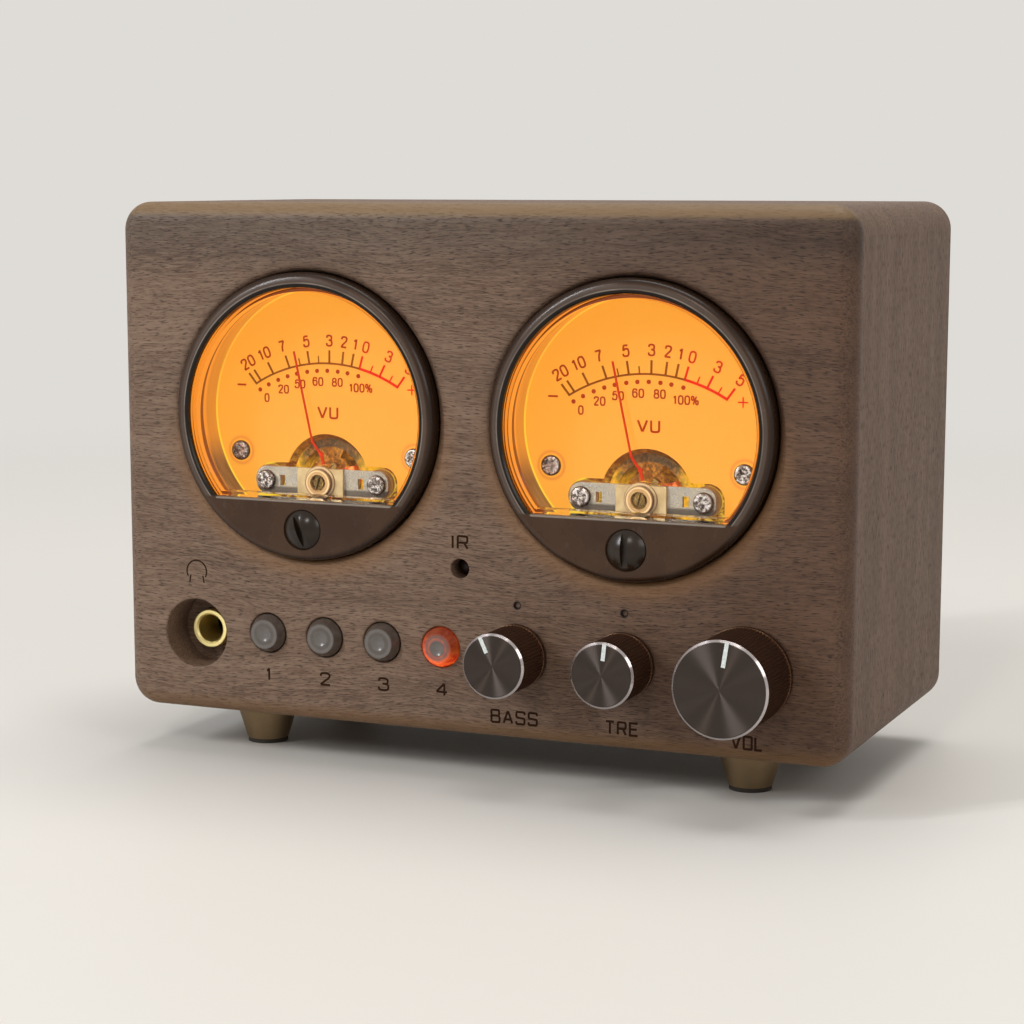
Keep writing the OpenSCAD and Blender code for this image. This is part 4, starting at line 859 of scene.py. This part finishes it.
def on_circle(centre, radius, angle):
    """A point on a circle. The angle is in degrees from upright, to the right."""
    turn = math.radians(angle)
    return centre[0] + radius * math.sin(turn), centre[1] + radius * math.cos(turn)


def rounded(points, closed):
    """A line of points with its corners cut three times over."""
    for _ in range(3):
        ends = points[1:] + points[:1] if closed else points[1:]
        cut = [a.lerp(b, share) for a, b in zip(points, ends) for share in (0.25, 0.75)]
        points = cut if closed else points[:1] + cut + points[-1:]
    return points


def letter_strokes(letter):
    """A letter's strokes, each as its points and whether it is closed."""
    for stroke in GLYPHS[letter][1:]:
        curved, closed = stroke[0] in "~o", stroke[0] == "o"
        numbers = [float(number) for number in stroke.lstrip("~o ").split()]
        points = [Vector(pair) for pair in zip(numbers[::2], numbers[1::2])]
        yield rounded(points, closed) if curved else points, closed


class Marks:
    """Thin closed shapes on a face that looks forward. x and z are millimetres from a centre."""

    def __init__(self, centre, proud=0.03, sunk=0.02):
        self.centre = Vector(centre)
        self.proud = proud
        self.sunk = sunk
        self.mesh = bmesh.new()

    def corner(self, x, z, out):
        return self.mesh.verts.new(self.centre + Vector((x, -out, z)) * MM)

    def disc(self, x, z, radius, steps=20):
        turns = [2 * math.pi * i / steps for i in range(steps)]
        outline = [(x + radius * math.cos(t), z + radius * math.sin(t)) for t in turns]
        front, back = ([self.corner(*place, out) for place in outline] for out in (self.proud, -self.sunk))
        self.mesh.faces.new(front)
        self.mesh.faces.new(back[::-1])
        for i in range(steps):
            j = (i + 1) % steps
            self.mesh.faces.new((front[j], front[i], back[i], back[j]))

    def line(self, points, width, closed=False):
        """A stroke of one width along a line of points, with mitred corners."""
        points = [Vector(point) for point in points]
        rows = [self.row(points, i, width, closed) for i in range(len(points))]
        ahead = rows[1:] + rows[:1] if closed else rows[1:]
        for a, b in zip(rows, ahead):
            for j, k in ((0, 2), (2, 3), (3, 1), (1, 0)):
                self.mesh.faces.new((a[j], b[j], b[k], a[k]))
        for row in () if closed else (rows[0], rows[-1]):
            self.mesh.faces.new((row[0], row[2], row[3], row[1]))

    def row(self, points, i, width, closed):
        """The four corners of a stroke at one of its points."""
        steps = [points[i] - points[i - 1]] if i or closed else []
        if closed or i + 1 < len(points):
            steps.append(points[(i + 1) % len(points)] - points[i])
        ways = [step.normalized() for step in steps]
        along = sum(ways, Vector((0, 0))).normalized()
        mitre = min(1 / max(along.dot(ways[0]), 0.1), MITRE_LIMIT)
        side = along.orthogonal() * width / 2 * mitre
        spots = (points[i] + side, points[i] - side)
        return [self.corner(*spot, out) for spot in spots for out in (self.proud, -self.sunk)]

    def arc(self, centre, radius, first, last, width, steps=40):
        """A stroke along a circle. Angles are degrees from upright, to the right."""
        angles = [first + (last - first) * i / steps for i in range(steps + 1)]
        self.line([on_circle(centre, radius, angle) for angle in angles], width)

    def text(self, words, x, z, height, stroke, width=None, turn=0):
        """Upright letters of a given height, centred, drawn to a given width and turned clockwise."""
        total = sum(GLYPHS[letter][0] for letter in words) + LETTER_GAP * (len(words) - 1)
        grow_z = (height - stroke) / LETTER_H
        grow_x = (width - stroke) / total if width else grow_z * 0.9
        angle = math.radians(turn)
        start = -total / 2
        for letter in words:
            for points, closed in letter_strokes(letter):
                placed = []
                for px, pz in points:
                    dx, dz = (start + px) * grow_x, (pz - LETTER_H / 2) * grow_z
                    placed.append((x + dx * math.cos(angle) + dz * math.sin(angle),
                                   z - dx * math.sin(angle) + dz * math.cos(angle)))
                self.line(placed, stroke, closed)
                self.proud += STROKE_RISE
            start += GLYPHS[letter][0] + LETTER_GAP

    def piece(self, name, material, body="root"):
        """Makes the piece from the shapes so far."""
        bmesh.ops.recalc_face_normals(self.mesh, faces=self.mesh.faces)
        mesh = bpy.data.meshes.new(name)
        self.mesh.to_mesh(mesh)
        self.mesh.free()
        mesh.materials.append(material)
        thing = add_object(name, mesh)
        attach(thing, body)


# A dial's print, in millimetres from the middle of its bezel and in degrees from upright. The ticks
# stand on the scale and point away from TICK_AIM.
SCALE_CENTRE = (0.23, -23.67)
TICK_AIM = (0.57, -17.0)
SCALE_R = 35.1
DOT_R = 33.4
UPPER_R = 40.3
LOWER_R = 30.95
OVERHANG = 0.4
DARK_LINE = 0.45
RED_LINE = 0.6
# Length and width of a tick
MAJOR_TICK = (3.0, 0.5)
MINOR_TICK = (1.7, 0.32)
# Angle of each tick, and 1 for a major one
DARK_TICKS = (
    (-31.5, 1), (-29.2, 1), (-23.2, 1), (-15.9, 1), (-11.2, 0),
    (-7.3, 1), (-3.3, 0), (1.1, 1), (6.4, 1), (10.3, 1),
)
RED_TICKS = ((13.7, 1), (18.4, 0), (22.4, 1), (26.8, 0), (30.6, 1))
DOT_ANGLES = (-31.3, -26.9, -22.2, -17.7, -13.4, -8.7, -4.3, 0.2, 4.8, 9.1, 13.9)
DARK_LABELS = (("20", -30.5), ("10", -23.7), ("7", -16.5), ("5", -7.5), ("3", 1.0), ("2", 6.4), ("1", 10.5))
RED_LABELS = (("0", 14.4), ("3", 23.1), ("5", 31.3))
LOWER_LABELS = (("0", -30.3), ("20", -21.3), ("50", -13.0), ("60", -4.3), ("80", 4.9), ("100%", 16.1))
# Height and stroke of the texts, and for VU also the width
UPPER_TEXT = (2.75, 0.42)
LOWER_TEXT = (2.1, 0.35)
VU_TEXT = (2.95, 0.48, 5.4)
VU_SPOT = (0.37, 0.14)
DOT_SIZE = 0.5
MINUS_SPOT = (-21.95, 5.88)
MINUS_STROKE = 0.44
PLUS_SPOT = (21.7, 6.02)
PLUS_STROKE = 0.32
SIGN_HALF = 1.15


def on_scale(angle, radius):
    """A point of the dial at an angle about the scale's centre."""
    return Vector(on_circle(SCALE_CENTRE, radius, angle))


def ticks(marks, angles):
    """The ticks of one part of the scale."""
    for angle, major in angles:
        foot = on_scale(angle, SCALE_R)
        way = (foot - Vector(TICK_AIM)).normalized()
        length, width = MAJOR_TICK if major else MINOR_TICK
        marks.line((foot, foot + way * length), width)


def labels(marks, words, radius, size, turned=True):
    """The numbers along one circle about the scale's centre."""
    for word, angle in words:
        marks.text(word, *on_scale(angle, radius), *size, turn=angle if turned else 0)


def dial_print(side, inks):
    """The scale, numbers and signs on one dial."""
    centre = middle(f"bezel_{side}")
    face = (centre.x, DIAL_Y, centre.z)
    red_from = RED_TICKS[0][0]
    scale = Marks(face)
    scale.arc(SCALE_CENTRE, SCALE_R, DARK_TICKS[0][0] - OVERHANG, red_from, DARK_LINE)
    ticks(scale, DARK_TICKS)
    scale.piece(f"scale_{side}", inks["olive"])
    red = Marks(face)
    red.arc(SCALE_CENTRE, SCALE_R, red_from, RED_TICKS[-1][0] + OVERHANG, RED_LINE)
    ticks(red, RED_TICKS)
    x, z = PLUS_SPOT
    red.line(((x - SIGN_HALF, z), (x + SIGN_HALF, z)), PLUS_STROKE)
    red.line(((x, z - SIGN_HALF), (x, z + SIGN_HALF)), PLUS_STROKE)
    red.piece(f"scale_red_{side}", inks["red"])
    numbers = Marks(face)
    labels(numbers, DARK_LABELS, UPPER_R, UPPER_TEXT)
    labels(numbers, LOWER_LABELS, LOWER_R, LOWER_TEXT, turned=False)
    for angle in DOT_ANGLES:
        numbers.disc(*on_scale(angle, DOT_R), DOT_SIZE)
    numbers.text("VU", *VU_SPOT, *VU_TEXT)
    x, z = MINUS_SPOT
    numbers.line(((x - SIGN_HALF, z), (x + SIGN_HALF, z)), MINUS_STROKE)
    numbers.piece(f"numerals_{side}", inks["brown"])
    hot = Marks(face)
    labels(hot, RED_LABELS, UPPER_R, UPPER_TEXT)
    hot.piece(f"numerals_red_{side}", inks["rust"])


# Labels on the front, in millimetres: the words, x and z from its lower middle, and the width
FRONT_WORDS = (
    ("1", -49.7, 10.2, 1.5), ("2", -35.0, 10.2, 2.9), ("3", -20.2, 10.2, 2.9), ("4", -5.7, 10.2, 3.1),
    ("BASS", 11.9, 5.3, 11.4), ("TRE", 37.3, 5.1, 7.8), ("VOL", 65.7, 4.5, 7.2), ("IR", -1.1, 43.75, 4.1),
)
LABEL_H = 3.2
LABEL_STROKE = 0.48
# The headphone sign: its middle, its band, and the ends of its right ear from its middle
PHONES_SPOT = (-68.3, 33.0)
PHONES_STROKE = 0.32
BAND_R = 2.6
BAND_TURN = 118
EAR_ENDS = ((1.9, -2.6), (1.6, -0.9))


def front_marks(inks):
    """Burnt-in labels by the controls and the headphone sign."""
    face = Marks((0, FRONT_Y, BASE_Z))
    for words, x, z, width in FRONT_WORDS:
        face.text(words, x, z, LABEL_H, LABEL_STROKE, width)
    x, z = PHONES_SPOT
    face.arc(PHONES_SPOT, BAND_R, -BAND_TURN, BAND_TURN, PHONES_STROKE)
    for side in (-1, 1):
        face.line([(x + side * dx, z + dz) for dx, dz in EAR_ENDS], PHONES_STROKE)
    face.piece("front_labels", inks["burnt"])


# White bars of the knobs: body, turn at rest in degrees, and both ends in millimetres from the axis
KNOB_MARKS = {
    "bass_knob": ("bass_control", -25, 3.1, 6.9),
    "treble_knob": ("treble_control", 6, 3.3, 7.0),
    "volume_knob": ("volume_control", 9, 4.84, 10.3),
}
BAR_WIDTH = 0.9
BAR_DEPTH = 0.29


def knob_mark(knob, inks):
    """White bar let into a knob's face."""
    body, rest, first, last = KNOB_MARKS[knob]
    centre = middle(knob)
    bar = Marks((centre.x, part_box(knob)[0].y, centre.z), proud=0.0, sunk=BAR_DEPTH)
    turn = math.radians(rest)
    way = Vector((math.sin(turn), math.cos(turn)))
    bar.line((way * first, way * last), BAR_WIDTH)
    bar.piece(knob.replace("knob", "mark"), inks["white"], body)


def make_inks():
    """Materials of the marks."""
    return {
        "olive": ink("olive ink", linear(150, 74, 10), glow=0.65),
        "brown": ink("brown ink", linear(180, 54, 8), glow=0.65),
        "rust": ink("rust ink", linear(216, 56, 12), glow=0.65),
        "red": ink("red ink", linear(240, 38, 14), glow=0.65),
        "burnt": ink("burnt label", linear(46, 28, 16)),
        "white": ink("white bar", linear(226, 232, 230)),
    }


# ---------------------------------------------------------------- stage


# Colour and strength of the surroundings where they are seen, and their strength as light
PALE = linear(228, 225, 220)
PALE_LEVEL = 0.95
AMBIENT = 0.38
# The floor in metres: half its side, and where it fades into the surroundings
FLOOR_HALF = 12
FADE_FROM = 0.3
FADE_TO = 0.85
# Soft lights: place, width and height, power and colour. All aim at one point of the object.
LIGHT_AIM = Vector((0, 0, 0.06))
SOFTBOXES = {
    "softbox_left": ((-1.1, -1.2, 0.95), (0.1, 0.8), 18, (0.93, 0.97, 1.0)),
    "softbox_front": ((0.12, -1.3, 1.05), (0.2, 0.3), 4, (1.0, 0.94, 0.86)),
    "softbox_right": ((1.3, -0.7, 0.75), (0.7, 0.7), 5, (1.0, 0.97, 0.94)),
    "softbox_top": ((0.1, 0.3, 1.6), (1.0, 1.0), 16, (1.0, 0.99, 0.97)),
}
# The camera as it was fitted to the photo: metres, radians, and millimetres on a sensor 36 wide
CAMERA_PLACE = (0.22119, -0.52727, 0.13338)
CAMERA_YAW = 0.40934
CAMERA_PITCH = 0.14854
CAMERA_LENS = 86.59
CAMERA_SENSOR = 36
CAMERA_SHIFT = (0.0123, 0.0346)


def look_along(thing, way):
    """Turns a light or a camera to look along a way, upright."""
    thing.rotation_euler = way.to_track_quat("-Z", "Y").to_euler()


def make_camera():
    data = bpy.data.cameras.new("camera")
    data.sensor_width = CAMERA_SENSOR
    data.lens = CAMERA_LENS
    data.shift_x, data.shift_y = CAMERA_SHIFT
    data.clip_start = 0.01
    level = math.cos(CAMERA_PITCH)
    forward = (-math.sin(CAMERA_YAW) * level, math.cos(CAMERA_YAW) * level, -math.sin(CAMERA_PITCH))
    camera = add_object("camera", data)
    camera.location = CAMERA_PLACE
    look_along(camera, Vector(forward))
    bpy.context.scene.camera = camera


def pale_world():
    """Plain surroundings: pale where they are seen or mirrored, softer as light."""
    world = bpy.data.worlds.new("surroundings")
    world.use_nodes = True
    graph = Graph(world.node_tree)
    light = graph.add("Background", {"Color": PALE, "Strength": AMBIENT}).outputs[0]
    view = graph.add("Background", {"Color": PALE, "Strength": PALE_LEVEL}).outputs[0]
    graph.add("OutputWorld", {"Surface": graph.blend(graph.seen(), light, view)})
    bpy.context.scene.world = world


def pale_floor():
    """Pale floor that takes the object's shadow and melts into the surroundings further off."""
    paint = Paint("floor")
    x, y, _ = paint.axes()
    far = paint.span(paint.length(x, y), FADE_FROM, FADE_TO, smooth=True)
    near_shader = paint.shade({"Base Color": linear(214, 211, 206), "Roughness": 0.55})
    glow = paint.add("Emission", {"Color": PALE, "Strength": PALE_LEVEL}).outputs[0]
    material = paint.finish(paint.blend(paint.times(far, paint.seen()), near_shader, glow))
    mesh = bpy.data.meshes.new("floor")
    corners = [(i * FLOOR_HALF, j * FLOOR_HALF, 0) for i, j in ((-1, -1), (1, -1), (1, 1), (-1, 1))]
    mesh.from_pydata(corners, [], [(0, 1, 2, 3)])
    mesh.materials.append(material)
    floor = add_object("floor", mesh)


def make_lights():
    for name, (place, size, power, colour) in SOFTBOXES.items():
        light = bpy.data.lights.new(name, "AREA")
        light.shape = "RECTANGLE"
        light.size, light.size_y = size
        light.energy = power
        light.color = colour
        softbox = add_object(name, light)
        softbox.location = place
        look_along(softbox, LIGHT_AIM - Vector(place))


bpy.context.scene.view_settings.view_transform = "Standard"

make_camera()
pale_world()
pale_floor()
make_lights()
paint_nodes()

inks = make_inks()
for side in SIDES:
    dial_print(side, inks)
front_marks(inks)
for knob in KNOBS:
    knob_mark(knob, inks)
